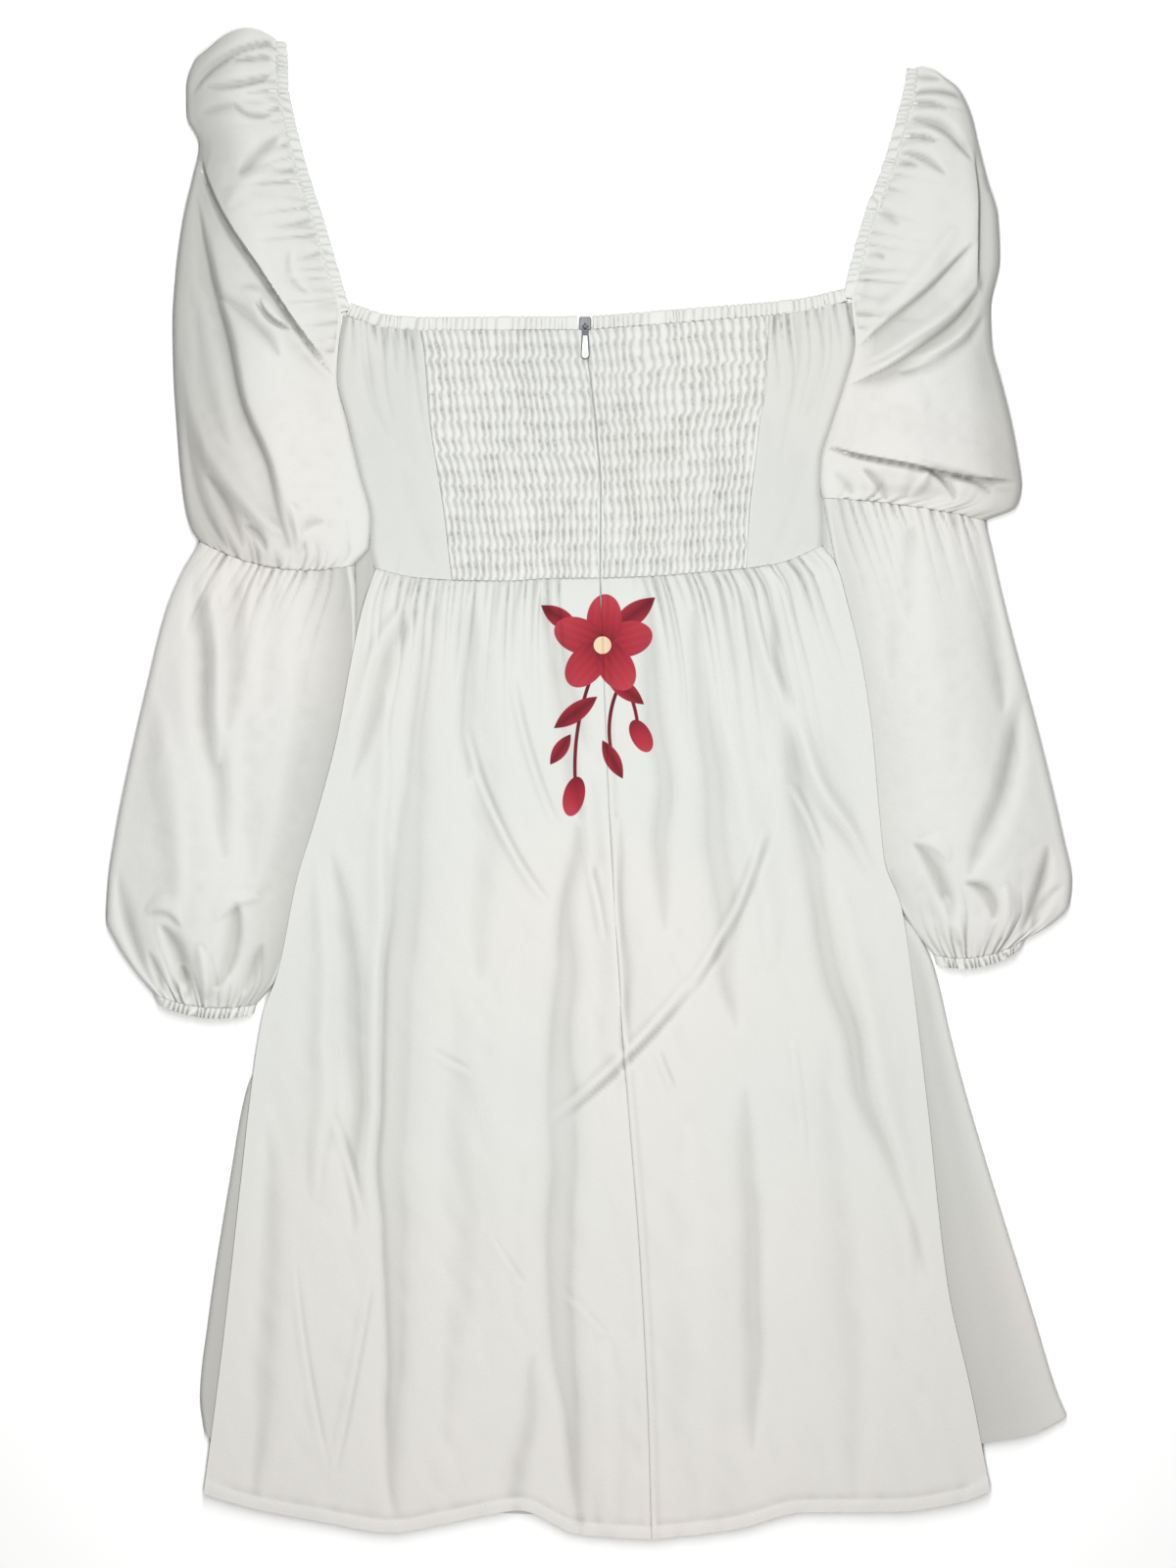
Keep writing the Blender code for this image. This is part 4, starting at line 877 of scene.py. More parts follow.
def makeFrontSkirt():
    outline, hem = frontSkirt["outline"], frontSkirt["hem"]
    depths = [-row.y for row in outline]
    hemX, hemY = [p[0] for p in hem], [p[1] for p in hem]
    top = outline[0].y
    sections, paintedShadeRows = [], []
    for part in np.linspace(0, 1, frontSkirt["rows"] + 1):
        depth = depths[0] + (depths[-1] - depths[0]) * part
        left, right, tuckLeft, tuckRight = (
            float(easeCurve(depths, [row[k] for row in outline], depth)) for k in range(1, 5))
        bulge = heights["flapBulge"] * min(1.0, (right - tuckRight) / 40.0)
        x1, z1 = turnedSide(left, tuckLeft, heights["flap"], 0.0, frontSkirt["flapSteps"][0])
        x2, z2 = turnedSide(right, tuckRight, heights["flap"], bulge, frontSkirt["flapSteps"][1])
        flat = np.linspace(x1[-1], x2[-1], frontSkirt["flatSteps"] + 1)[1:-1]
        x = np.concatenate([x1, flat, x2[::-1]])
        z = np.concatenate([z1, np.zeros(len(flat)), z2[::-1]])
        lowest = easeCurve(hemX, hemY, x)
        lifted = top + np.interp(x, *zip(*frontSkirt["cornerLift"])) * (1 - part) ** 8
        y = lifted + (lowest - lifted) * part
        z = z * (1 - 0.5 * (1 - part) ** 8) + 0.35 * np.clip((7.0 - (y - lowest)) / 0.8, 0, 1) * (z > 3.0)
        sections.append(np.stack([x, y, z], axis=-1))
        # painted shade: each flap's colour darkens, most at its tuck under the back skirt
        shades = [np.linspace(*ends, len(flap)) for ends, flap in zip(frontSkirt["flapShades"], (x1, x2))]
        paintedShadeRows.append(np.concatenate([shades[0], np.zeros(len(flat)), shades[1][::-1]]))
    piece = clothWall("skirt_front_cloth", np.array(sections)[:, ::-1], paintedShade=np.array(paintedShadeRows)[:, ::-1])
    return finishPiece(piece, plainCloth, "skirt_front")


skirtFront = makeFrontSkirt()
print("front skirt made")

# Bodice: plain front underneath, plain sides and the shirred back
smock = {
    "rows": 16,
    "rowSteps": 12,
    "puckers": 22,  # across each half
    "puckerSteps": 8,
    "rise": 2.5,
    "sink": 0.2,
    "lean": 0.36,  # how far a crease slants across between two rows of elastic, in puckers
    "skew": 0.09,
    "blister": 0.10,
    "tuft": 0.30,
    "between": 0.62,  # how strong the creases stay between the rows
    "shift": 0.16,  # how far a row moves its puckers aside
    "sizes": (0.45, 1.2),
    "rowWander": ((0.10, 24.0), (0.11, 5.0)),  # how far and over how many millimetres, broad and fine
    "creaseWander": ((0.5, 23.0), (0.12, 6.0)),
    "jump": (0.62, 0.38),  # where between two rows a crease starts to jump back, and over how much
    "roundness": 0.55,
    "elastic": (0.12, 0.24),  # where in a row the elastic runs, and how wide it pulls
    "paintedShade": (5, 4, 0.62),
}


def makeSmock(name, left, right, waist, waistSlice, seed):
    across = np.linspace(0, 1, smock["puckers"] * smock["puckerSteps"] + 1)
    down = np.linspace(0, 1, smock["rows"] * smock["rowSteps"] + 1)
    low = edges[waist][waistSlice]
    leftEdge, rightEdge = edges[left], edges[right]
    top = [leftEdge[0], rightEdge[0]]
    places = panelPlaces(top, low, leftEdge[:-1] + [low[0]], rightEdge[:-1] + [low[-1]], across, down)
    gap = heights["seamGap"]
    insets = {"left": gap / 2, "right": gap / 2}
    insets["left" if left == "centreBack" else "right"] = heights["zipGap"]
    places = insetPlaces(places, top=gap, **insets)
    x, y = places[..., 0], places[..., 1]
    v, u = np.meshgrid(down * smock["rows"], across * smock["puckers"], indexing="ij")
    draw = np.random.default_rng(seed)
    shifts = draw.uniform(-smock["shift"], smock["shift"], 64)
    sizes = draw.uniform(*smock["sizes"], (64, 64))
    for k, (far, size) in enumerate(smock["rowWander"]):
        v = v + far * softNoise(x, y, size, seed + 1 + k)
    row = np.floor(v).astype(int)
    within = v - row
    # each row of elastic gathers the cloth anew, so the creases slant and then jump back
    back = np.clip((within - smock["jump"][0]) / smock["jump"][1], 0, 1)
    back = back * back * (3 - 2 * back)
    shift = shifts[row % 64] * (1 - back) + shifts[(row + 1) % 64] * back
    phase = u
    for k, (far, size) in enumerate(smock["creaseWander"]):
        phase = phase + far * softNoise(x, y, size, seed + 3 + k)
    phase = phase + shift - smock["lean"] * (within - back)
    column = np.floor(phase + 0.5).astype(int)
    skewed = phase + smock["skew"] * np.sin(2 * math.pi * phase)
    puck = np.abs(np.cos(math.pi * skewed)) ** smock["roundness"]
    size = sizes[column % 64, row % 64] * (1 - back) + sizes[column % 64, (row + 1) % 64] * back
    at, wide = smock["elastic"]
    gathered = np.exp(-(((within - at) / wide) ** 2))
    gathered = np.maximum(gathered, np.exp(-(((within - 1 - at) / wide) ** 2)))
    strength = smock["between"] + (1 - smock["between"]) * gathered
    blister = smock["blister"] * np.abs(np.sin(math.pi * within)) ** 0.6
    rim = np.clip(np.minimum(u, smock["puckers"] - u) / 0.35, 0, 1)
    tuft = gathered * np.exp(-(((phase - np.round(phase) - at) / wide) ** 2))
    relief = 0.3 + blister + strength * size * (puck - 0.5) + smock["tuft"] * tuft
    relief = relief * (0.25 + 0.75 * rim)
    height = heights["backTop"] - smock["sink"] + smock["rise"] * relief
    outer = np.stack([x, y, height], axis=-1)
    # painted shade: the shirred panel's colour darkens between its puckers
    paintedShade = hollowOf(height, smock["paintedShade"][:2], smock["paintedShade"][2])
    piece = clothWall(name + "_cloth", outer, skip=8, plain=slice(None), level=1.7, paintedShade=paintedShade)
    return finishPiece(piece, litTightCloth, name)


smockLeft = makeSmock("smock_left", "smockLeft", "centreBack", "waistLeft", slice(2, None), 31)
smockRight = makeSmock("smock_right", "centreBack", "smockRight", "waistRight", slice(0, 4), 41)
print("shirred back made")

side = {
    "underSleeve": 0.8,
    "sleeveShade": 2.6,
    "columns": 70,
    "rows": 110,
    "gathersLeft": gatherList(10, 3.8, 22.0, 1.3, 51),
    "gathersRight": gatherList(11, 3.8, 24.0, 1.3, 52),
    "waistGathers": gatherList(6, 0.9, 9.0, 2.4, 53),
    "paintedShade": (4, 5, 1.2),
    "folds": rows(
        foldColumns,
        (-136, 262, -118, 205, -3, 4, 5, -0.9, 0),
        (-120, 250, -100, 190, 2, 6, 6, 0.5, 0),
        (-112, 190, -92, 130, -2, 6, 6, -0.6, 0),
        (140, 268, 128, 216, 3, 4, 5, -0.9, 0),
        (120, 262, 112, 200, 0, 6, 6, 0.5, 0),
        (128, 200, 112, 140, 2, 6, 6, -0.6, 0),
    ),
}


def makeSide(name, top, waist, left, right, gathers):
    across, down = np.linspace(0, 1, side["columns"] + 1), np.linspace(0, 1, side["rows"] + 1)
    places = panelPlaces(top, waist, left, right, across, down)
    gap = heights["seamGap"]
    tucked = {"left": gap / 2, "right": gap / 2}
    tucked["left" if name.endswith("left") else "right"] = -side["underSleeve"]
    places = insetPlaces(places, top=gap, **tucked)
    x, y = places[..., 0], places[..., 1]
    fallen, bottom = places[0, :, 1] - y, y - places[-1, :, 1]
    u = across[None, :]
    height = heights["backTop"] + gatherRelief(gathers, u, fallen, 46.0)
    height += gatherRelief(side["waistGathers"], u, bottom, 46.0)
    inside = np.clip(np.minimum(u, 1 - u) / 0.12, 0, 1)
    height += inside * foldRelief(side["folds"], x, y)[0]
    height += 0.3 * inside * softNoise(x, y, 16.0, 55)
    fromSleeve = x - x[:, :1] if name.endswith("left") else x[:, -1:] - x
    # painted shade: the side panel's colour darkens in its gathers, and a painted shadow runs along the edge
    # that tucks under the sleeve
    paintedShade = hollowOf(height, side["paintedShade"][:2], side["paintedShade"][2])
    paintedShade = np.clip(paintedShade + np.exp(-((fromSleeve / side["sleeveShade"]) ** 2)), 0, 1)
    piece = clothWall(name + "_cloth", np.stack([x, y, height], axis=-1), plain=slice(None), above=1.7,
                      paintedShade=paintedShade)
    return finishPiece(piece, shadedSideCloth, name)


sideLeft = makeSide(
    "bodice_side_left",
    [edges["sideLeft"][0], (-121, 272), edges["smockLeft"][0]],
    edges["waistLeft"][:3],
    edges["sideLeft"],
    edges["smockLeft"][:-1] + [edges["waistLeft"][2]],
    side["gathersLeft"],
)
sideRight = makeSide(
    "bodice_side_right",
    [edges["smockRight"][0], (124, 281.0), (146, 285.8), edges["sideRight"][0]],
    edges["waistRight"][3:],
    edges["smockRight"][:-1] + [edges["waistRight"][3]],
    edges["sideRight"],
    side["gathersRight"],
)


def makeBodiceFront():
    left, right = edges["sideLeft"][1:], edges["sideRight"][1:]
    across, down = np.linspace(0, 1, 41), np.linspace(0, 1, 31)
    places = panelPlaces([left[0], right[0]], [left[-1], right[-1]], left, right, across, down)
    places = insetPlaces(places, left=0.3, right=0.3)
    top = frontSkirt["outline"][0].y + heights["seamGap"]
    places[-1, :, 1] = top
    above = places[:, :, 1] - top
    places[:, :, 1] = top + above * np.clip(above / 6.0, 0, 1)
    height = np.full(places.shape[:2], 1.2)
    piece = clothWall("bodice_front_cloth", np.concatenate([places, height[..., None]], axis=-1),
                      plain=slice(None), level=0.0)
    return finishPiece(piece, plainCloth, "bodice_front")


bodiceFront = makeBodiceFront()
print("bodice made")

# Gathered elastic strips: neck bands and the casings along the sleeves' neck edges
strip = {"step": 0.55, "sides": 14, "bandWidth": 8.3, "bandThick": 2.0, "bandPitch": 3.7, "bandRise": 1.3,
         "casingWidth": 7.0, "casingThick": 1.8, "casingPitch": 3.9, "casingRise": 1.3, "casingTop": 4.5,
         "casingGap": -1.4, "casingStop": 3.4, "casingDip": 1.4}


def sweepStrip(name, path, sideways, upwards, width, thick, pitch, rise, seed, slant=0.1, tuft=0.0):
    # a flattened tube along the path, puckered across, fuller on its upper face and at its tufted side
    steps = len(path)
    run = np.concatenate([[0], np.cumsum(np.linalg.norm(np.diff(path, axis=0), axis=1))])
    drift = 1.5 * softNoise(run, run * 0, 11.0, seed) + 0.3 * softNoise(run, run * 0 + 9, 3.5, seed + 2)
    angles = np.linspace(0, 2 * math.pi, strip["sides"] + 1)[:-1]
    rings, paintedShade = [], []
    for k in range(steps):
        size = 1 + 0.6 * float(softNoise(run[k], 3.0, 6.0, seed + 1))
        ring = []
        for angle in angles:
            out, up = math.cos(angle), math.sin(angle)
            wave = abs(math.cos(math.pi * (run[k] / pitch + drift[k] + slant * out)))
            wide = math.copysign(abs(out) ** 0.6, out) * (width / 2 + 0.8 * size * (wave - 0.7))
            tall = math.copysign(abs(up) ** 0.6, up) * thick / 2
            puff = rise * size * (wave - 0.35) * max(up, 0) * (1 - tuft * out)
            ring.append(path[k] + sideways[k] * wide + upwards[k] * (tall + puff))
            # painted shade: the strip's colour darkens between its puckers on the upper face
            paintedShade.append(max(0.0, 0.55 - wave) / 0.55 * max(up, 0) ** 0.5)
        rings.append(ring)
    points = np.array(rings).reshape(-1, 3)
    n = strip["sides"]
    faces = [[k * n + a, k * n + (a + 1) % n, (k + 1) * n + (a + 1) % n, (k + 1) * n + a]
             for k in range(steps - 1) for a in range(n)]
    faces += [list(range(n))[::-1], [(steps - 1) * n + a for a in range(n)]]
    piece = addMesh(name, points, faces, paintedShade=np.array(paintedShade))
    settleNormals(piece)
    return piece


def rightOf(path):
    run = np.gradient(path, axis=0)
    sideways = np.stack([run[:, 1], -run[:, 0], np.zeros(len(run))], axis=-1)
    return sideways / np.linalg.norm(sideways, axis=-1, keepdims=True)


def makeBand(name, line, seed):
    steps = round(lineLength(line) / strip["step"])
    flat = alongLine(line, np.linspace(0, 1, steps + 1))
    middle = heights["backUnder"] + strip["bandThick"] / 2
    path = np.concatenate([flat, np.full((steps + 1, 1), middle)], axis=1)
    up = np.tile((0.0, 0.0, 1.0), (steps + 1, 1))
    piece = sweepStrip(name + "_cloth", path, rightOf(path), up, strip["bandWidth"], strip["bandThick"],
                       strip["bandPitch"], strip["bandRise"], seed)
    return finishPiece(piece, litTightCloth, name)


bandLeft = makeBand("neck_band_left", edges["bandLeft"], 61)
bandRight = makeBand("neck_band_right", edges["bandRight"], 62)

# Sleeves: a row for each section, as in the solids, with the folds that each one shows
ringColumns = "inX inY outX outY sag inHigh outHigh crown open gather"
sleeves = {
    "ringRows": 217,
    "foldScale": 1.6,
    "broadCreaseShade": (12, 10, 10.0),
    "fineCreaseShade": (2, 2, 0.8),
    "crownRound": 1.15,
    "crumples": ((0.55, 19.0), (0.22, 7.0)),  # soft unevenness: height and size, broad and fine
    "frillPitch": 3.1,
    # how much less light comes in, and how far across, at the inner and at the outer flank
    "flanks": {"upperLeft": (0, 0.3, 1.1, 0.6), "upperRight": (0, 0.3, 1.0, 0.24),
               "lowerLeft": (1.0, 0.32, 0, 0.3), "lowerRight": (0.35, 0.3, 0.1, 0.3)},
    "turn": 4,
    "under": 24,
    "top": 96,
    "upperLeft": rows(
        ringColumns,
        (-186.0, 442.4, -226.4, 438.2, -9.2, 4.2, 3.6, 0, 1, 0),
        (-185.3, 433.0, -235.2, 430.4, -5, 4.2, 5.4, 2.5, 1, 0),
        (-184.9, 417.0, -239.8, 414.8, 0, 4.2, 7, 5, 1, 0),
        (-181.9, 399.0, -239.6, 398.0, 0, 4.2, 7, 6, 1, 0),
        (-177.3, 379.7, -232.2, 379.7, 0, 4.2, 7, 7, 1, 0),
        (-172.6, 362.1, -235.8, 362.0, 0, 4.2, 8, 8, 1, 0),
        (-164.4, 337.0, -241.6, 335.8, 0, 4.2, 9, 9, 1, 0),
        (-155.5, 307.0, -245.7, 303.6, 0, 4.2, 10, 10, 1, 0),
        (-147.8, 280.6, -247.5, 274.4, 0, 4.2, 10, 11, 1, 0),
        (-150.6, 243.2, -246.9, 243.0, 0, 5.0, 10, 12, 0.7, 0),
        (-143.9, 214.7, -245.1, 214.0, 0, 8, 10, 12, 0, 0),
        (-136.9, 185.4, -242.8, 184.0, 0, 9, 10, 11, 0, 0),
        (-130.1, 157.0, -239.8, 162.0, 3, 9, 10, 8, 0, 0.5),
        (-131.2, 141.0, -236.2, 149.8, 7, 9, 9, 4, 0, 0.9),
        (-140.4, 129.6, -231.7, 143.9, 9, 9, 9, 0, 0, 1.2),
    ),
    "upperRight": rows(
        ringColumns,
        (194.8, 426.5, 208.8, 423.0, -1.5, 4.2, 3.6, 0, 1, 0),
        (193.6, 414.8, 220.5, 413.6, 0, 4.2, 5.4, 2, 1, 0),
        (189.5, 398.4, 228.1, 397.2, 0, 4.2, 7, 4, 1, 0),
        (184.9, 381.4, 232.2, 379.7, 0, 4.2, 8, 6, 1, 0),
        (178.4, 360.9, 237.5, 358.6, 0, 4.2, 9, 8, 1, 0),
        (170.8, 341.1, 243.4, 337.5, 0, 4.2, 10, 9, 1, 0),
        (162.6, 314.1, 244.5, 312.0, 0, 4.2, 10, 10, 1, 0),
        (156.6, 288.6, 239.0, 283.0, 0, 4.2, 10, 11, 1, 0),
        (158.6, 262.7, 239.8, 262.0, 0, 5.0, 10, 12, 0.7, 0),
        (152.1, 238.1, 245.1, 240.4, 0, 8, 10, 12, 0, 0),
        (144.5, 214.7, 251.0, 217.0, 0, 9, 10, 12, 0, 0),
        (138.1, 192.5, 255.6, 192.5, 0, 9, 10, 11, 0, 0.4),
        (137.5, 179.6, 257.5, 176.7, 0, 9, 10, 7, 0, 0.8),
        (138.1, 173.6, 254.5, 164.6, -2, 9, 9, 3, 0, 1.0),
        (139.2, 169.6, 235.8, 156.2, -2.3, 9, 9, 0, 0, 1.2),
    ),
    "lowerLeft": rows(
        ringColumns,
        (-140.4, 129.4, -231.7, 143.7, 9.0, 9, 9, 0, 0, 1.2),
        (-138.8, 112.0, -242.2, 126.4, 6, 7, 9, 4, 0, 0.9),
        (-138.8, 87.2, -252.1, 102.4, 2, 5, 9, 9, 0, 0.4),
        (-142.2, 49.1, -263.8, 55.0, 0, 4.8, 10, 12, 0, 0),
        (-150.9, 8.2, -273.8, 11.1, 0, 4.8, 10, 13, 0, 0),
        (-159.7, -29.8, -281.4, -26.9, 0, 4.8, 10, 13, 0, 0),
        (-168.5, -62.0, -286.1, -59.1, 0, 4.8, 10, 12, 0, 0),
        (-174.5, -85.4, -287.2, -81.3, 0, 5, 10, 11, 0, 0.3),
        (-179.8, -101.0, -281.4, -95.4, 2, 6, 10, 9, 0, 0.6),
        (-186.5, -117.6, -270.9, -111.7, 4, 7, 9, 6, 0, 0.9),
        (-197.8, -131.4, -259.7, -125.2, 5, 8.4, 8.4, 0, 0, 1.1),
    ),
    "lowerRight": rows(
        ringColumns,
        (139.2, 169.4, 235.8, 156.0, -2.3, 9, 9, 0, 0, 1.2),
        (143.3, 148.6, 239.3, 142.2, -1, 7, 9, 4, 0, 0.9),
        (148.4, 122.3, 245.1, 116.4, 0, 5, 9, 9, 0, 0.4),
        (154.4, 87.2, 254.5, 78.4, 0, 4.8, 10, 12, 0, 0),
        (161.5, 49.1, 264.4, 42.1, 0, 4.8, 10, 13, 0, 0),
        (166.1, 8.2, 274.4, 2.3, 0, 4.8, 10, 13, 0, 0),
        (168.5, -26.9, 282.0, -31.0, 0, 4.8, 10, 12, 0, 0),
        (173.0, -53.2, 287.2, -57.9, 0, 5, 10, 11, 0, 0.3),
        (184.6, -73.0, 285.5, -73.1, 2, 6, 10, 8, 0, 0.6),
        (194.3, -88.3, 274.4, -84.8, 4, 7, 9, 5, 0, 0.9),
        (205.0, -102.0, 260.3, -92.4, 6, 8.4, 8.4, 0, 0, 1.1),
    ),
    "cuffLeft": rows(
        ringColumns,
        (-197.9, -131.6, -259.6, -125.4, 5, 8.4, 8.4, 0, 0, 0.5),
        (-199.6, -137.4, -256.6, -131.4, 5.4, 8.8, 8.8, 0, 0, 1.1),
    ),
    "cuffRight": rows(
        ringColumns,
        (205.1, -102.2, 260.2, -92.6, 6, 8.4, 8.4, 0, 0, 0.5),
        (206.8, -108.0, 257.0, -98.6, 6.4, 8.8, 8.8, 0, 0, 1.1),
    ),
    "foldsUpperLeft": rows(
        foldColumns,
        (-236, 392, -146, 240, -9, 0.9, 22, 3.4, -1.9),
        (-238.4, 389.6, -148.4, 237.6, -9, 2.6, 1.1, -3.6, 0),
        (-242, 387, -152, 235, -9, 9, 3, -1.6, 0),
        (-196, 286, -176, 270, -3, 1.4, 5, 2.2, -1.0),
        (-199, 284, -178, 268, -3, 2.0, 1.2, -1.7, 0),
        (-233, 352, -176, 138, -6, 11, 4, -4.6, 0),
        (-222, 330, -168, 142, -6, 5, 12, 1.4, -0.8),
        (-250, 372, -256, 196, -8, 14, 12, -4.5, 0),
        (-236, 300, -213, 200, -4, 6, 6, -1.8, 0),
        (-242, 256, -182, 148, -14, 6, 6, 2.8, 0),
        (-240, 218, -210, 136, -9, 4, 4, -2.6, 0),
        (-227, 184, -204, 140, 2, 3, 4, -1.8, 0),
        (-220, 291, -184, 252, 3, 4, 5, -2.6, 0),
        (-206, 292, -180, 268, 4, 5, 4, 1.8, 0),
        (-203, 154, -190, 138, 2, 3, 3, -1.8, 0),
        (-172, 146, -157, 156, 3, 3, 5, -0.8, 0),
        (-176, 165, -172, 138, 3, 3, 4, 1.4, 0),
        (-182, 388, -207, 360, -2, 4, 4, -2.2, 0),
        (-188, 366, -213, 340, -3, 5, 5, 1.4, 0),
        (-237, 408, -186, 442, 8, 3, 4, -2.2, 0),
        (-228, 413, -186, 424, -3, 2.4, 3, -2.4, 0),
        (-232, 398, -190, 404, 2, 4, 4, -1.2, 0),
        (-212, 404, -187, 398, -4, 2.4, 3, -1.8, 0),
        (-214, 428, -188, 432, 2, 2.4, 2.4, -1.6, 0),
        (-178, 318, -166, 290, -6, 3, 3, -0.9, 0),
    ),
    "foldsUpperRight": rows(
        foldColumns,
        (231, 380, 229, 292, -2, 12, 1.2, 2.4, 1.5),
        (233, 378, 232, 290, -2, 1.6, 8, -2.6, 0),
        (226, 322, 152, 256, 4, 1.8, 10, -3.6, 0),
        (216, 330, 160, 272, 4, 4, 6, 1.2, 0),
        (231, 294, 154, 236, 8, 2.0, 8, -4.0, 0),
        (234, 302, 163, 250, 6, 5, 3, 2.2, 0),
        (235, 282, 183, 243, 8, 3.4, 5, -2.2, 0),
        (238, 296, 190, 251, 8, 3.4, 3, 1.4, 0),
        (266, 178, 124, 206, 4, 18, 0.9, 2.6, 1.6),
        (266, 176.2, 124, 204.2, 4, 1.1, 2.6, -2.6, 0),
        (256, 172, 196, 191, 2, 3, 6, -1.6, 0),
        (199, 189, 219, 168, 3, 1.8, 4, -2.6, 0),
        (204, 188, 189, 170, 2, 3, 3, 1.7, 0),
        (188, 194, 181, 168, 3, 4, 4, 0.9, 0),
        (214, 186, 240, 172, 3, 2.4, 3.4, -1.2, 0),
        (163, 187, 177, 168, 2, 1.8, 3, -2.2, 0),
        (146, 186, 158, 172, 0, 3, 3, -1.2, 0),
        (192, 421, 210, 420, 1, 2, 2, -1.5, 0),
        (190, 413, 226, 408, 3, 2.2, 3, -2.0, 0),
        (187, 404, 214, 402, 2, 2, 3, -1.4, 0),
        (186, 397, 228, 371, 8, 3, 4, -2.8, 0),
        (184, 386, 207, 382, 2, 2.2, 2.6, -1.7, 0),
        (181, 377, 212, 361, 4, 2.4, 3, -1.9, 0),
        (179, 369, 196, 367, 2, 2, 2.4, -1.3, 0),
        (172, 341, 184, 331, 1, 3, 3, -0.9, 0),
        (162, 312, 176, 310, 3, 2.4, 3, -1.2, 0),
        (164, 300, 156, 284, 0, 4, 4, -1.5, 0),
        (170, 235, 200, 222, 3, 8, 8, 0.8, 0),
    ),
    "foldsLowerLeft": rows(
        foldColumns,
        (-235, 128, -213, -46, -4, 8, 8, -2.6, 0),
        (-212, 126, -214, 30, 3, 7, 7, -2.0, 0),
        (-224, 116, -222, 10, 2, 7, 6, 2.2, 0),
        (-188, 122, -194, 40, 3, 8, 8, -1.2, 0),
        (-264, 60, -240, -90, 6, 9, 9, 1.8, 0),
        (-283, -50, -259, -122, -5, 4, 5, -2.8, 0),
        (-254, -84, -246, -126, 5, 5, 6, -3.4, 0),
        (-264, -78, -240, -84, 7, 3.0, 7, 1.3, -0.6),
        (-207, -70, -222, -122, 5, 6, 4, -3.0, 0),
        (-222, -80, -196, -66, 4, 3.0, 7, 0.9, -0.4),
        (-243, -108, -239, -130, 1, 3, 3, -1.9, 0),
        (-231, -96, -228, -128, 1, 4, 4, 1.8, 0),
        (-262, -100, -254, -126, 1, 3, 3, -1.4, 0),
        (-176, 80, -198, -70, 5, 8, 8, 1.6, 0),
        (-200, 60, -196, -60, -3, 9, 9, -1.0, 0),
        (-192, -96, -204, -126, 0, 4, 4, -1.6, 0),
    ),
    "foldsLowerRight": rows(
        foldColumns,
        (261, 56, 226, -56, 4, 7, 8, -3.0, 0),
        (233, 148, 246, 40, 4, 7, 7, -2.2, 0),
        (248, 100, 262, 20, 3, 7, 7, 1.4, 0),
        (192, 154, 191, 96, -2, 6, 6, -1.4, 0),
        (176, 150, 180, 60, 3, 7, 7, -1.2, 0),
        (200, 120, 206, 0, 2, 9, 9, 0.9, 0),
        (191, -36, 217, -84, 5, 4, 5, -2.8, 0),
        (194, -36, 214, -46, 4, 3.0, 6, 1.0, -0.4),
        (224, -58, 241, -81, 6, 4, 4, -2.6, 0),
        (272, -36, 258, -90, 4, 4, 5, -2.8, 0),
        (283, -60, 265, -90, -3, 3.4, 4, -2.0, 0),
        (178, -50, 196, -90, -2, 4, 4, -1.6, 0),
        (248, -60, 246, -94, 2, 5, 5, 1.6, 0),
        (212, -66, 222, -96, -1, 4, 4, 1.4, 0),
    ),
}


def ringProfile(row, width):
    # distance from the inner edge and height, along the underside, round the outer edge and back over
    near, far = row.inHigh / 2, row.outHigh / 2
    slit = math.asin(heights["seamGap"] / 2 / near)
    turn = np.linspace(0, 1, sleeves["turn"] + 1)
    low = slit + (math.pi / 2 - slit) * turn[:-1]
    under = np.linspace(near, width - far, sleeves["under"] + 1)[:-1]
    half = np.linspace(-math.pi / 2, math.pi / 2, 2 * sleeves["turn"] + 1)[:-1]
    over = np.linspace(width - far, near, sleeves["top"] + 1)
    high = math.pi / 2 - (math.pi / 2 - slit) * turn[1:]
    part = (over - near) / (width - far - near)
    crown = row.crown * np.sin(math.pi * np.clip(part, 0, 1)) ** sleeves["crownRound"]
    arch = 2 * near + 2 * (far - near) * part + crown
    outerEdge = width - far + far * np.cos(half)
    distance = np.concatenate([near * (1 - np.cos(low)), under, outerEdge, over, near * (1 - np.cos(high))])
    lowTurn = near * (1 - np.sin(low)) * (1 - row.open)
    highTurn = near * (1 + np.sin(high)) * (1 - row.open) + row.inHigh * row.open
    height = np.concatenate([lowTurn, np.zeros(sleeves["under"]), far * (1 + np.sin(half)), arch, highTurn])
    return distance, height


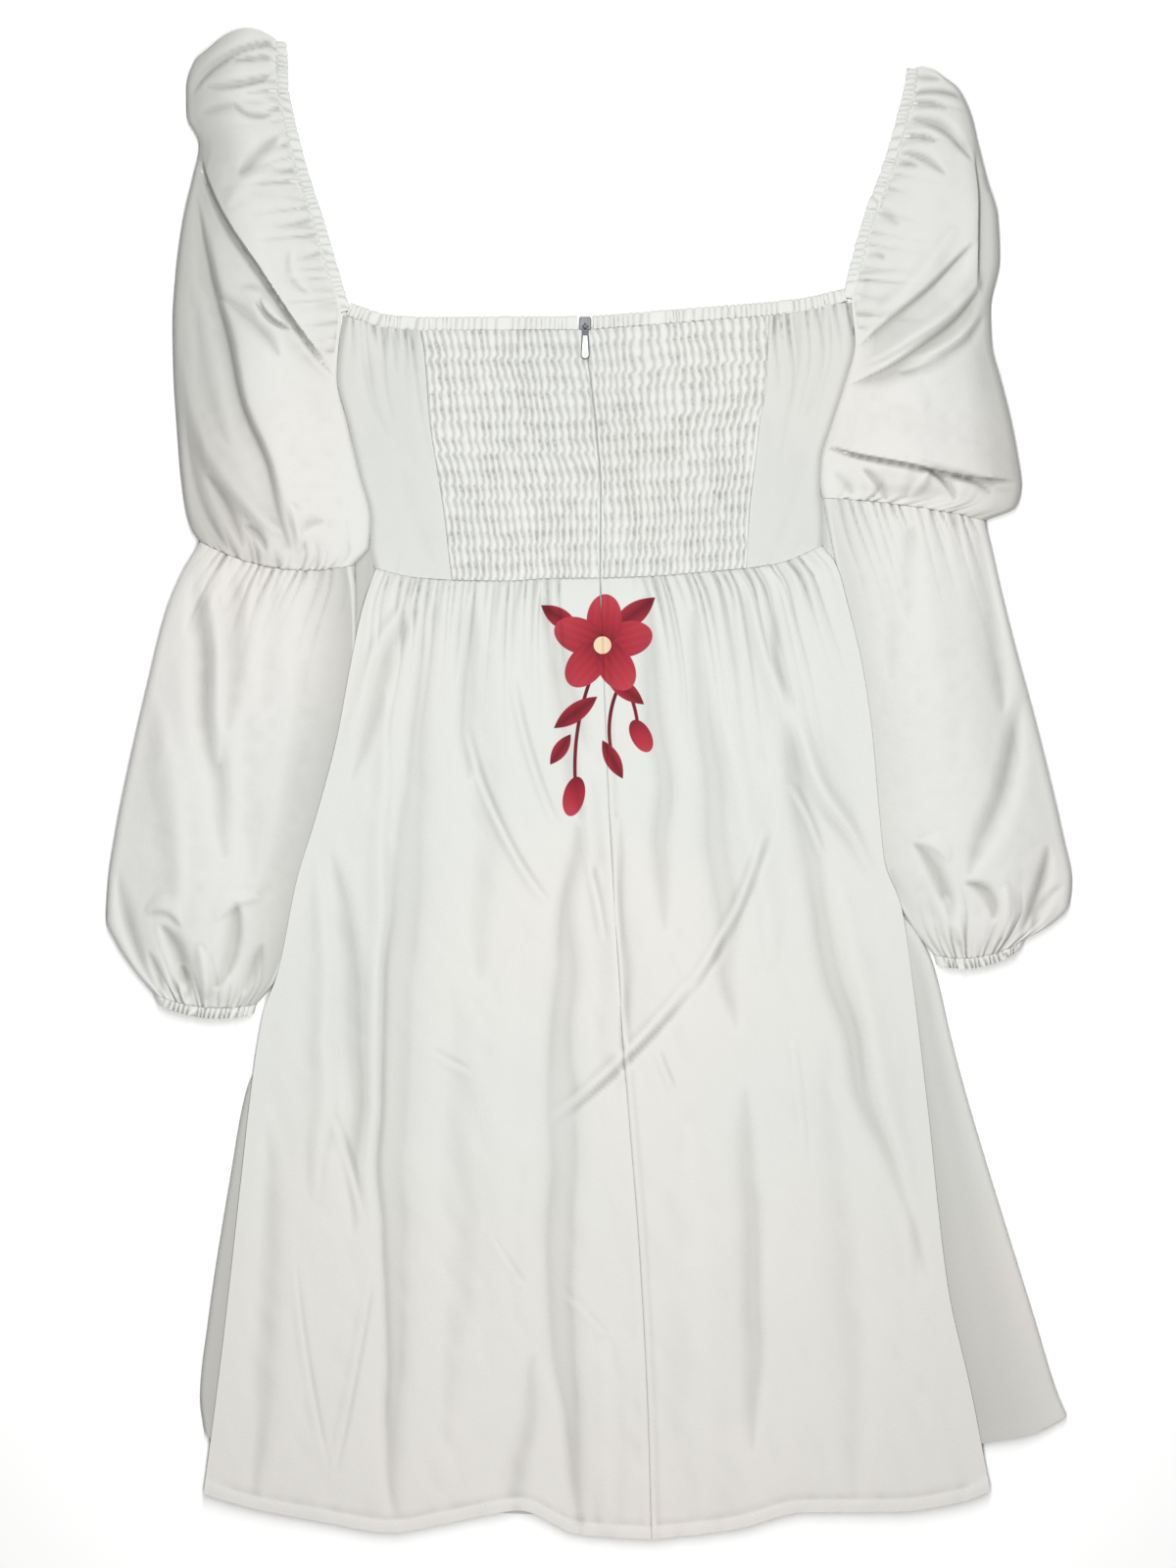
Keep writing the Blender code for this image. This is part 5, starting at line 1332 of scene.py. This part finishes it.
def sleeveGrid(table, folds, ringRows, neckGathers, startGathers, endGathers, seed, frill=0.0,
               flank=(0, 1, 0, 1)):
    middles = np.array([((r.inX + r.outX) / 2, (r.inY + r.outY) / 2) for r in table])
    run = np.concatenate([[0], np.cumsum(np.hypot(*np.diff(middles, axis=0).T))])
    at = np.linspace(0, run[-1], ringRows)
    Row = type(table[0])
    places, parts, widths, gathers = [], [], [], []
    for where in at:
        row = Row(*(float(easeCurve(run, [r[k] for r in table], where)) for k in range(len(table[0]))))
        across = np.array((row.outX - row.inX, row.outY - row.inY))
        width = math.hypot(*across)
        distance, height = ringProfile(row, width)
        part = distance / width
        x = row.inX + across[0] * part
        y = row.inY + across[1] * part - row.sag * 4 * part * (1 - part)
        places.append(np.stack([x, y, height], axis=-1))
        parts.append(part)
        widths.append(width)
        gathers.append(row.gather)
    grid, part, width = np.array(places), np.array(parts), np.array(widths)[:, None]
    first = 3 * sleeves["turn"] + sleeves["under"]
    top = slice(first, first + sleeves["top"] + 1)
    x, y, p = grid[:, top, 0], grid[:, top, 1], part[:, top]
    hold = np.clip(2.2 * np.sin(math.pi * p), 0, 1)
    folded, leanX, leanY = foldRelief(folds, x, y, wobble=2.4, seed=seed)
    (broadHigh, broadSize), (fineHigh, fineSize) = sleeves["crumples"]
    broad, fine = softNoise(x, y * 0.6, broadSize, seed + 1), softNoise(x, y, fineSize, seed + 2)
    rise = hold * (sleeves["foldScale"] * folded + broadHigh * broad + fineHigh * fine)
    fromStart, fromEnd = at[:, None] + 0 * p, (at[-1] - at)[:, None] + 0 * p
    rise += hold * gatherRelief(startGathers, p, fromStart, 100.0) if startGathers else 0.0
    rise += hold * gatherRelief(endGathers, p, fromEnd, 100.0) if endGathers else 0.0
    if neckGathers:
        along = at[:, None] / at[-1] + 0 * p
        near = np.clip(p * width / 3.0, 0, 1)
        rise += near * gatherRelief(neckGathers, along, p * width, at[-1])
    if frill:
        edge = np.linspace(0, 1, ringRows)[:, None]
        uneven = 0.6 * softNoise(p * 60, p * 0, 5.0, seed + 3)
        wave = np.abs(np.cos(math.pi * (p * width / sleeves["frillPitch"] + uneven)))
        rise += frill * hold * (0.4 + edge) * (wave - 0.4)
    grid[:, top, 0] += hold * leanX
    grid[:, top, 1] += hold * leanY
    grid[:, top, 2] += rise
    # painted shade: the sleeve's colour darkens in its creases, on its inner and outer flanks and round its
    # outer edge
    paintedShade = np.zeros(grid.shape[:2])
    if ringRows > sleeves["broadCreaseShade"][0]:
        paintedShade[:, top] = hollowOf(rise, sleeves["broadCreaseShade"][:2], sleeves["broadCreaseShade"][2])
    paintedShade[:, top] += hollowOf(rise, sleeves["fineCreaseShade"][:2], sleeves["fineCreaseShade"][2])
    shadeIn, reachIn, shadeOut, reachOut = flank
    inner, outer = np.clip(1 - p / reachIn, 0, 1), np.clip(1 - (1 - p) / reachOut, 0, 1)
    paintedShade[:, top] += shadeIn * inner**1.3 + shadeOut * outer
    paintedShade[:, first - 2 * sleeves["turn"] : first] = shadeOut
    return grid, np.clip(paintedShade, 0, 1)


def makeSleeve(name, key, folds, neckGathers=None, startGathers=None, endGathers=None, seed=70,
               closeTip=False, ringRows=None, frill=0.0, material=litSleeveCloth):
    grid, paintedShade = sleeveGrid(sleeves[key], folds, ringRows or sleeves["ringRows"], neckGathers, startGathers,
                              endGathers, seed, frill, sleeves["flanks"].get(key, (0, 1, 0, 1)))
    turn, under = sleeves["turn"], sleeves["under"]
    tip = (turn, under, sleeves["top"] // under) if closeTip else None
    first = 3 * turn + under
    middle = slice(first + 8, first + sleeves["top"] - 8)
    inward = -1 if grid[0, 0, 0] > 0 else 1
    piece = clothWall(name + "_cloth", grid, plain=middle, above=0.7, tip=tip, inward=inward,
                      paintedShade=paintedShade)
    settleNormals(piece)
    return finishPiece(piece, material, name)


neckGathersLeft = gatherList(36, 3.6, 15.0, 1.6, 71, gaps=[(0.6, 1.0)])
neckGathersRight = gatherList(32, 3.6, 15.0, 1.6, 72, gaps=[(0.6, 1.0)])
elbowGathers = {
    "upperLeft": gatherList(15, 4.0, 13.0, 1.9, 73),
    "upperRight": gatherList(14, 3.6, 11.0, 1.8, 74),
    "lowerLeftStart": gatherList(17, 4.2, 24.0, 1.7, 75),
    "lowerLeftEnd": gatherList(12, 4.2, 17.0, 1.6, 76),
    "lowerRightStart": gatherList(16, 4.2, 24.0, 1.7, 77),
    "lowerRightEnd": gatherList(11, 4.2, 16.0, 1.6, 78),
}
upperLeft = makeSleeve("sleeve_upper_left", "upperLeft", sleeves["foldsUpperLeft"], neckGathersLeft, None,
                       elbowGathers["upperLeft"], seed=81, closeTip=True)
upperRight = makeSleeve("sleeve_upper_right", "upperRight", sleeves["foldsUpperRight"], neckGathersRight,
                        None, elbowGathers["upperRight"], seed=84, closeTip=True)
lowerLeft = makeSleeve("sleeve_lower_left", "lowerLeft", sleeves["foldsLowerLeft"], None,
                       elbowGathers["lowerLeftStart"], elbowGathers["lowerLeftEnd"], seed=87)
lowerRight = makeSleeve("sleeve_lower_right", "lowerRight", sleeves["foldsLowerRight"], None,
                        elbowGathers["lowerRightStart"], elbowGathers["lowerRightEnd"], seed=90)
cuffLeft = makeSleeve("cuff_left", "cuffLeft", [], seed=93, ringRows=13, frill=3.0, material=litTightCloth)
cuffRight = makeSleeve("cuff_right", "cuffRight", [], seed=96, ringRows=13, frill=3.0, material=litTightCloth)
print("sleeves made")


def makeCasing(name, key, count, neckSide, seed):
    # up the back layer's neck edge, over the shoulder and down the front layer's
    edge = [(r.inX, r.inY) for r in reversed(sleeves[key][:count])]
    edge[-1] = (edge[-1][0], edge[-1][1] - strip["casingStop"])
    steps = round(lineLength(edge) / strip["step"])
    flat = alongLine(edge, np.linspace(0, 1, steps + 1))
    rising = np.concatenate([flat, np.zeros((steps + 1, 1))], axis=1)
    out = rightOf(rising) * neckSide
    line = rising + out * (strip["casingGap"] + strip["casingWidth"] / 2)
    half = strip["casingThick"] / 2
    top = strip["casingTop"] - half
    radius = (top - half) / 2
    angles = np.linspace(math.pi / 2, -math.pi / 2, 12)[1:-1]
    turned = np.array([(0, radius * math.cos(a), half + radius + radius * math.sin(a)) for a in angles])
    lowered = np.zeros_like(line)
    lowered[:, 2] = top - strip["casingDip"] * np.exp(-((np.arange(steps + 1) * strip["step"] / 7.0) ** 2))
    path = np.concatenate([line + lowered, line[-1] + turned, line[::-1] + (0, 0, half)])
    sideways = np.concatenate([out, np.tile(out[-1], (len(angles), 1)), out[::-1]])
    up = np.zeros_like(path)
    up[: steps + 1, 2] = 1
    up[steps + 1 : steps + 1 + len(angles)] = [(0, math.cos(a), math.sin(a)) for a in angles]
    up[steps + 1 + len(angles) :, 2] = -1
    piece = sweepStrip(name + "_cloth", path, sideways, up, strip["casingWidth"], strip["casingThick"],
                       strip["casingPitch"], strip["casingRise"], seed, slant=0.3, tuft=0.5)
    for vertex in piece.data.vertices:
        vertex.co.z = max(vertex.co.z, 0.0)
    return finishPiece(piece, litTightCloth, name)


casingLeft = makeCasing("neck_casing_left", "upperLeft", 9, 1, 101)
casingRight = makeCasing("neck_casing_right", "upperRight", 8, -1, 102)
print("casings made")

# Zip: tape and coil behind the gap, slider and its drop-shaped pull
zipSizes = {
    "slider": (-2.3, 273.9),
    "plate": (3.7, 4.0, 1.3),  # half width, half length, corner
    "under": 2.2,
    "top": 4.4,
    "pivotBack": 1.9,
    "pivotHeight": 5.4,
    "arch": (1.7, 0.8, 0.8),  # outer and inner radius, half width
    "tab": (19.6, 2.65, 0.5),  # length, half width, half thickness
    "tabArm": (1.15, 2.05, 0.55, 3.2, 4.2),  # inner, outer, end, slot, neck
    "pin": (0.45, 1.6),  # radius, half length
    "rimWide": 0.65,
    "sliderBevel": 0.18,
    "rimBevel": 0.12,
    "enamelBevel": 0.2,
    "toothPitch": 1.25,
    "tapeHalf": 5.0,
    "tapeHeights": (1.33, 1.43),
}


def prism(outline, low, high, axis):
    bm = bmesh.new()
    ends = []
    for level in (low, high):
        corners = [(level, a, b) if axis == 0 else (a, b, level) for a, b in outline]
        ends.append([bm.verts.new([value * mm for value in corner]) for corner in corners])
    bm.faces.new(ends[0][::-1])
    bm.faces.new(ends[1])
    for k in range(len(outline)):
        after = (k + 1) % len(outline)
        bm.faces.new((ends[0][k], ends[0][after], ends[1][after], ends[1][k]))
    bmesh.ops.recalc_face_normals(bm, faces=bm.faces)
    return bm


def arcPoints(centre, radius, start, end, steps):
    angles = np.linspace(math.radians(start), math.radians(end), steps + 1)
    return [(centre[0] + radius * math.cos(a), centre[1] + radius * math.sin(a)) for a in angles]


def bevelledPiece(name, parts, bevel, material, place, node, body):
    joined = bmesh.new()
    for bm in parts:
        mesh = bpy.data.meshes.new("part")
        bm.to_mesh(mesh)
        bm.free()
        joined.from_mesh(mesh)
        bpy.data.meshes.remove(mesh)
    for vertex in joined.verts:
        vertex.co += Vector(place) * mm
    mesh = bpy.data.meshes.new(name)
    joined.to_mesh(mesh)
    joined.free()
    mesh.shade_smooth()
    mesh.set_sharp_from_angle(angle=math.radians(40))
    piece = bpy.data.objects.new(name, mesh)
    bpy.context.scene.collection.objects.link(piece)
    rounding = piece.modifiers.new("rounding", "BEVEL")
    rounding.width, rounding.segments, rounding.limit_method = bevel * mm, 3, "ANGLE"
    return finishPiece(piece, material, node, body)


def makeSlider():
    w, h, c = zipSizes["plate"]
    plate = arcPoints((w - c, -h + c), c, -90, 0, 5) + arcPoints((w - c, h - c), c, 0, 90, 5)
    plate += arcPoints((-w + c, h - c), c, 90, 180, 5) + arcPoints((-w + c, -h + c), c, 180, 270, 5)
    body = prism(plate, zipSizes["under"], zipSizes["under"] + 0.8, 2)
    upper = prism([(a * 0.9, b * 0.94) for a, b in plate], zipSizes["top"] - 0.9, zipSizes["top"], 2)
    core = prism([(-0.8, -2.0), (0.8, -2.0), (0.8, 3.4), (-0.8, 3.4)], zipSizes["under"] + 0.7,
                 zipSizes["top"] - 0.8, 2)
    outer, inner, halfWidth = zipSizes["arch"]
    foot = zipSizes["top"] - 0.4 - zipSizes["pivotHeight"]
    outside = [(outer, foot)] + arcPoints((0, 0), outer, 0, 180, 16) + [(-outer, foot)]
    inside = [(-inner, foot)] + arcPoints((0, 0), inner, 180, 0, 16) + [(inner, foot)]
    arch = prism(outside + inside, -halfWidth, halfWidth, 0)
    for vertex in arch.verts:
        vertex.co += Vector((0, -zipSizes["pivotBack"], zipSizes["pivotHeight"])) * mm
    x, y = zipSizes["slider"]
    bevelledPiece("zip_slider_body", [body, upper, core, arch], zipSizes["sliderBevel"], metalFinish,
                  (x, y, 0), "zip_slider", "dress")


def tabOutline(grow=0.0):
    inner, outer, end, slot, neck = zipSizes["tabArm"]
    length, radius, _ = zipSizes["tab"]
    inner, outer, radius = inner - grow, outer + grow, radius + grow
    drop = arcPoints((0, -length + radius - grow), radius, 180, 360, 18)
    leftArm = [(-inner, -slot + grow), (-inner, end), (-outer, end)]
    rightArm = [(-a, b) for a, b in reversed(leftArm)]
    return leftArm + [(-outer, -neck)] + drop + [(outer, -neck)] + rightArm


def makePull():
    x, y = zipSizes["slider"]
    place = (x, y - zipSizes["pivotBack"], zipSizes["pivotHeight"])
    thick = zipSizes["tab"][2]
    rim = prism(tabOutline(), -thick, thick * 0.55, 2)
    pinRadius, pinHalf = zipSizes["pin"]
    pin = prism(arcPoints((0, 0), pinRadius, 0, 345, 23), -pinHalf, pinHalf, 0)
    bevelledPiece("pull_rim", [rim, pin], zipSizes["rimBevel"], outlineFinish, place, "zip_pull", "pull_tab")
    length, radius, _ = zipSizes["tab"]
    small = radius - zipSizes["rimWide"]
    face = arcPoints((0, -length + radius), small, 180, 360, 18)
    face += [(1.25, -zipSizes["tabArm"][4] - 1.4), (-1.25, -zipSizes["tabArm"][4] - 1.4)]
    bevelledPiece("pull_enamel", [prism(face, thick * 0.3, thick, 2)], zipSizes["enamelBevel"], enamelFinish,
                  place, None, "pull_tab")


def makeTape():
    # the tape, higher along the gap than at its own edges, and the coil's turns along it
    opening = edges["centreBack"] + [(7.4, 100)]
    steps = 120
    middle = alongLine(opening, np.linspace(0, 1, steps + 1))
    half = zipSizes["tapeHalf"]
    low, high = zipSizes["tapeHeights"]
    grid = np.array([[(x - half, y, low), (x - half / 2, y, high), (x, y, high), (x + half / 2, y, high),
                      (x + half, y, low)] for x, y in middle])
    tape = clothWall("zip_tape", grid, thick=0.12)
    finishPiece(tape, tapeFinish)
    count = int(lineLength(opening) / zipSizes["toothPitch"])
    points, faces = [], []
    for k, (x, y) in enumerate(alongLine(opening, np.linspace(0.0, 1, count))):
        way = -1 if k % 2 else 1
        base = len(points)
        lowX, highX = sorted((x - way * 0.35, x + way * 1.25))
        for px, py, pz in ((lowX, -0.4, 0), (highX, -0.4, 0), (highX, 0.4, 0), (lowX, 0.4, 0),
                           (lowX + 0.15, -0.25, 0.34), (highX - 0.15, -0.25, 0.34),
                           (highX - 0.15, 0.25, 0.34), (lowX + 0.15, 0.25, 0.34)):
            points.append((px, y + py, low + pz))
        faces += [[base + i for i in f] for f in ((0, 3, 2, 1), (4, 5, 6, 7), (0, 1, 5, 4), (1, 2, 6, 5),
                                                  (2, 3, 7, 6), (3, 0, 4, 7))]
    coil = addMesh("zip_coil", points, faces, smooth=False)
    finishPiece(coil, metalFinish)
    return tape


makeSlider()
makePull()
zipTape = makeTape()
print("zip made")

# Sewing: small stitches laid on the hems
stitch = {"length": 1.7, "pitch": 2.6, "radius": 0.16, "up": 6.2}


def stitchMesh(name, line):
    # line: places on the cloth's surface, one stitch between every pair that is a pitch apart
    points, faces = [], []
    run = np.concatenate([[0], np.cumsum(np.linalg.norm(np.diff(line, axis=0), axis=1))])
    starts = np.arange(1.0, run[-1] - 3.0, stitch["pitch"])
    for start in starts:
        a = np.array([np.interp(start, run, line[:, k]) for k in range(3)])
        b = np.array([np.interp(start + stitch["length"], run, line[:, k]) for k in range(3)])
        forward = (b - a) / np.linalg.norm(b - a)
        sideways = np.cross(forward, (0, 0, 1.0))
        up = np.cross(sideways, forward)
        base = len(points)
        for where, size, sink in ((0, 0.3, -0.12), (0.2, 1, 0), (0.8, 1, 0), (1, 0.3, -0.12)):
            centre = a + (b - a) * where + up * (sink + 0.08)
            for angle in np.linspace(0, 2 * math.pi, 7)[:-1]:
                r = stitch["radius"] * size
                points.append(centre + sideways * r * math.cos(angle) + up * r * math.sin(angle))
        for ring in range(3):
            for k in range(6):
                low, high = base + ring * 6, base + ring * 6 + 6
                faces.append([low + k, low + (k + 1) % 6, high + (k + 1) % 6, high + k])
        faces += [[base + k for k in range(5, -1, -1)], [base + 18 + k for k in range(6)]]
    piece = addMesh(name, points, faces)
    settleNormals(piece)
    return finishPiece(piece, threadFinish)


def hemLine(grid):
    # the places a hem's depth up from the bottom edge of a skirt panel
    found = []
    for column in range(2, grid.shape[1] - 2):
        line = grid[:, column]
        target = line[-1, 1] + stitch["up"]
        found.append([np.interp(-target, -line[:, 1], line[:, k]) for k in range(3)])
    return np.array(found)


stitchMesh("hem_stitches_left", hemLine(skirtLeftGrid))
stitchMesh("hem_stitches_right", hemLine(skirtRightGrid))
print("sewing made")

# Cuts: the flat width and length of each sheet of cloth, and the share of that rectangle that it fills
cuts = rows(
    "piece width length share rests",
    (skirtBackLeft, 0.31, 0.58, 0.82, ["skirt_front_cloth"]),
    (skirtBackRight, 0.27, 0.58, 0.80, ["skirt_front_cloth"]),
    (skirtFront, 0.60, 0.56, 0.80, ["floor"]),
    (bodiceFront, 0.31, 0.13, 0.95, ["floor"]),
    (sideLeft, 0.06, 0.15, 0.92, ["bodice_front_cloth"]),
    (sideRight, 0.06, 0.15, 0.92, ["bodice_front_cloth"]),
    (smockLeft, 0.15, 0.15, 0.95, ["bodice_front_cloth"]),
    (smockRight, 0.15, 0.15, 0.95, ["bodice_front_cloth"]),
    (bandLeft, 0.14, 0.0105, 1.0, ["bodice_front_cloth"]),
    (bandRight, 0.15, 0.0105, 1.0, ["bodice_front_cloth"]),
    (upperLeft, 0.24, 0.32, 0.95, ["floor"]),
    (upperRight, 0.22, 0.28, 0.95, ["floor"]),
    (lowerLeft, 0.28, 0.27, 1.0, ["floor"]),
    (lowerRight, 0.27, 0.27, 1.0, ["floor"]),
    (cuffLeft, 0.11, 0.0105, 1.0, ["floor"]),
    (cuffRight, 0.10, 0.0105, 1.0, ["floor"]),
    (casingLeft, 0.28, 0.0105, 1.0, ["floor"]),
    (casingRight, 0.25, 0.0105, 1.0, ["floor"]),
    (zipTape, 0.011, 0.18, 1.0, ["bodice_front_cloth"]),
)
for cut in cuts:
    print("cut", cut.piece.name, round(clothArea(cut.piece) / (cut.width * cut.length * cut.share), 3))

# Floor, light and camera
studio = {
    "floor": (0.985, 0.985, 0.982, 1),
    "room": (1.0, 1.0, 0.995, 1),
    "world": 0.19,
    "lights": rows(
        "name power wide long x y z",
        ("stripLight", 13.0, 0.18, 1.35, 0.0, 0.0, 1.0),
        ("topLight", 7.0, 0.3, 0.3, 0.1, 1.3, 1.3),
    ),
    "cameraHeight": 2.4,
    "seen": (0.702, 0.936),  # what the photograph's frame covers, in metres
    "aim": (-0.0006, -0.0006),
}


def makeStudio():
    bpy.ops.mesh.primitive_grid_add(x_subdivisions=8, y_subdivisions=8, size=6.0, location=(0, 0, -0.0004))
    floor = bpy.context.object
    floor.name = "floor"
    material, tree, shader = newMaterial("paleFloor")
    grain = noise(tree, addNode(tree, "ShaderNodeTexCoord").outputs["Object"], 60.0)
    darker = tuple(c * 0.99 for c in studio["floor"][:3]) + (1,)
    feed(tree, shader, {"Base Color": blend(tree, grain, studio["floor"], darker), "Roughness": 0.8})
    floor.data.materials.append(material)
    world = bpy.data.worlds.new("paleRoom")
    world.use_nodes = True
    backdrop = world.node_tree.nodes["Background"]
    feed(world.node_tree, backdrop, {"Color": studio["room"], "Strength": studio["world"]})
    bpy.context.scene.world = world
    for given in studio["lights"]:
        light = bpy.data.lights.new(given.name, "AREA")
        light.shape, light.energy, light.size, light.size_y = "RECTANGLE", given.power, given.wide, given.long
        lamp = bpy.data.objects.new(given.name, light)
        lamp.location = (given.x, given.y, given.z)
        lamp.rotation_euler = (-Vector(lamp.location)).to_track_quat("-Z", "Y").to_euler()
        lamp.visible_camera = False
        bpy.context.scene.collection.objects.link(lamp)
    camera = bpy.data.cameras.new("camera")
    camera.sensor_width = 36.0
    camera.lens = 36.0 * studio["cameraHeight"] / studio["seen"][1]
    eye = bpy.data.objects.new("camera", camera)
    eye.location = (*studio["aim"], studio["cameraHeight"])
    bpy.context.scene.collection.objects.link(eye)
    bpy.context.scene.camera = eye
    bpy.context.scene.view_settings.view_transform = "Standard"


makeStudio()
print("studio made")
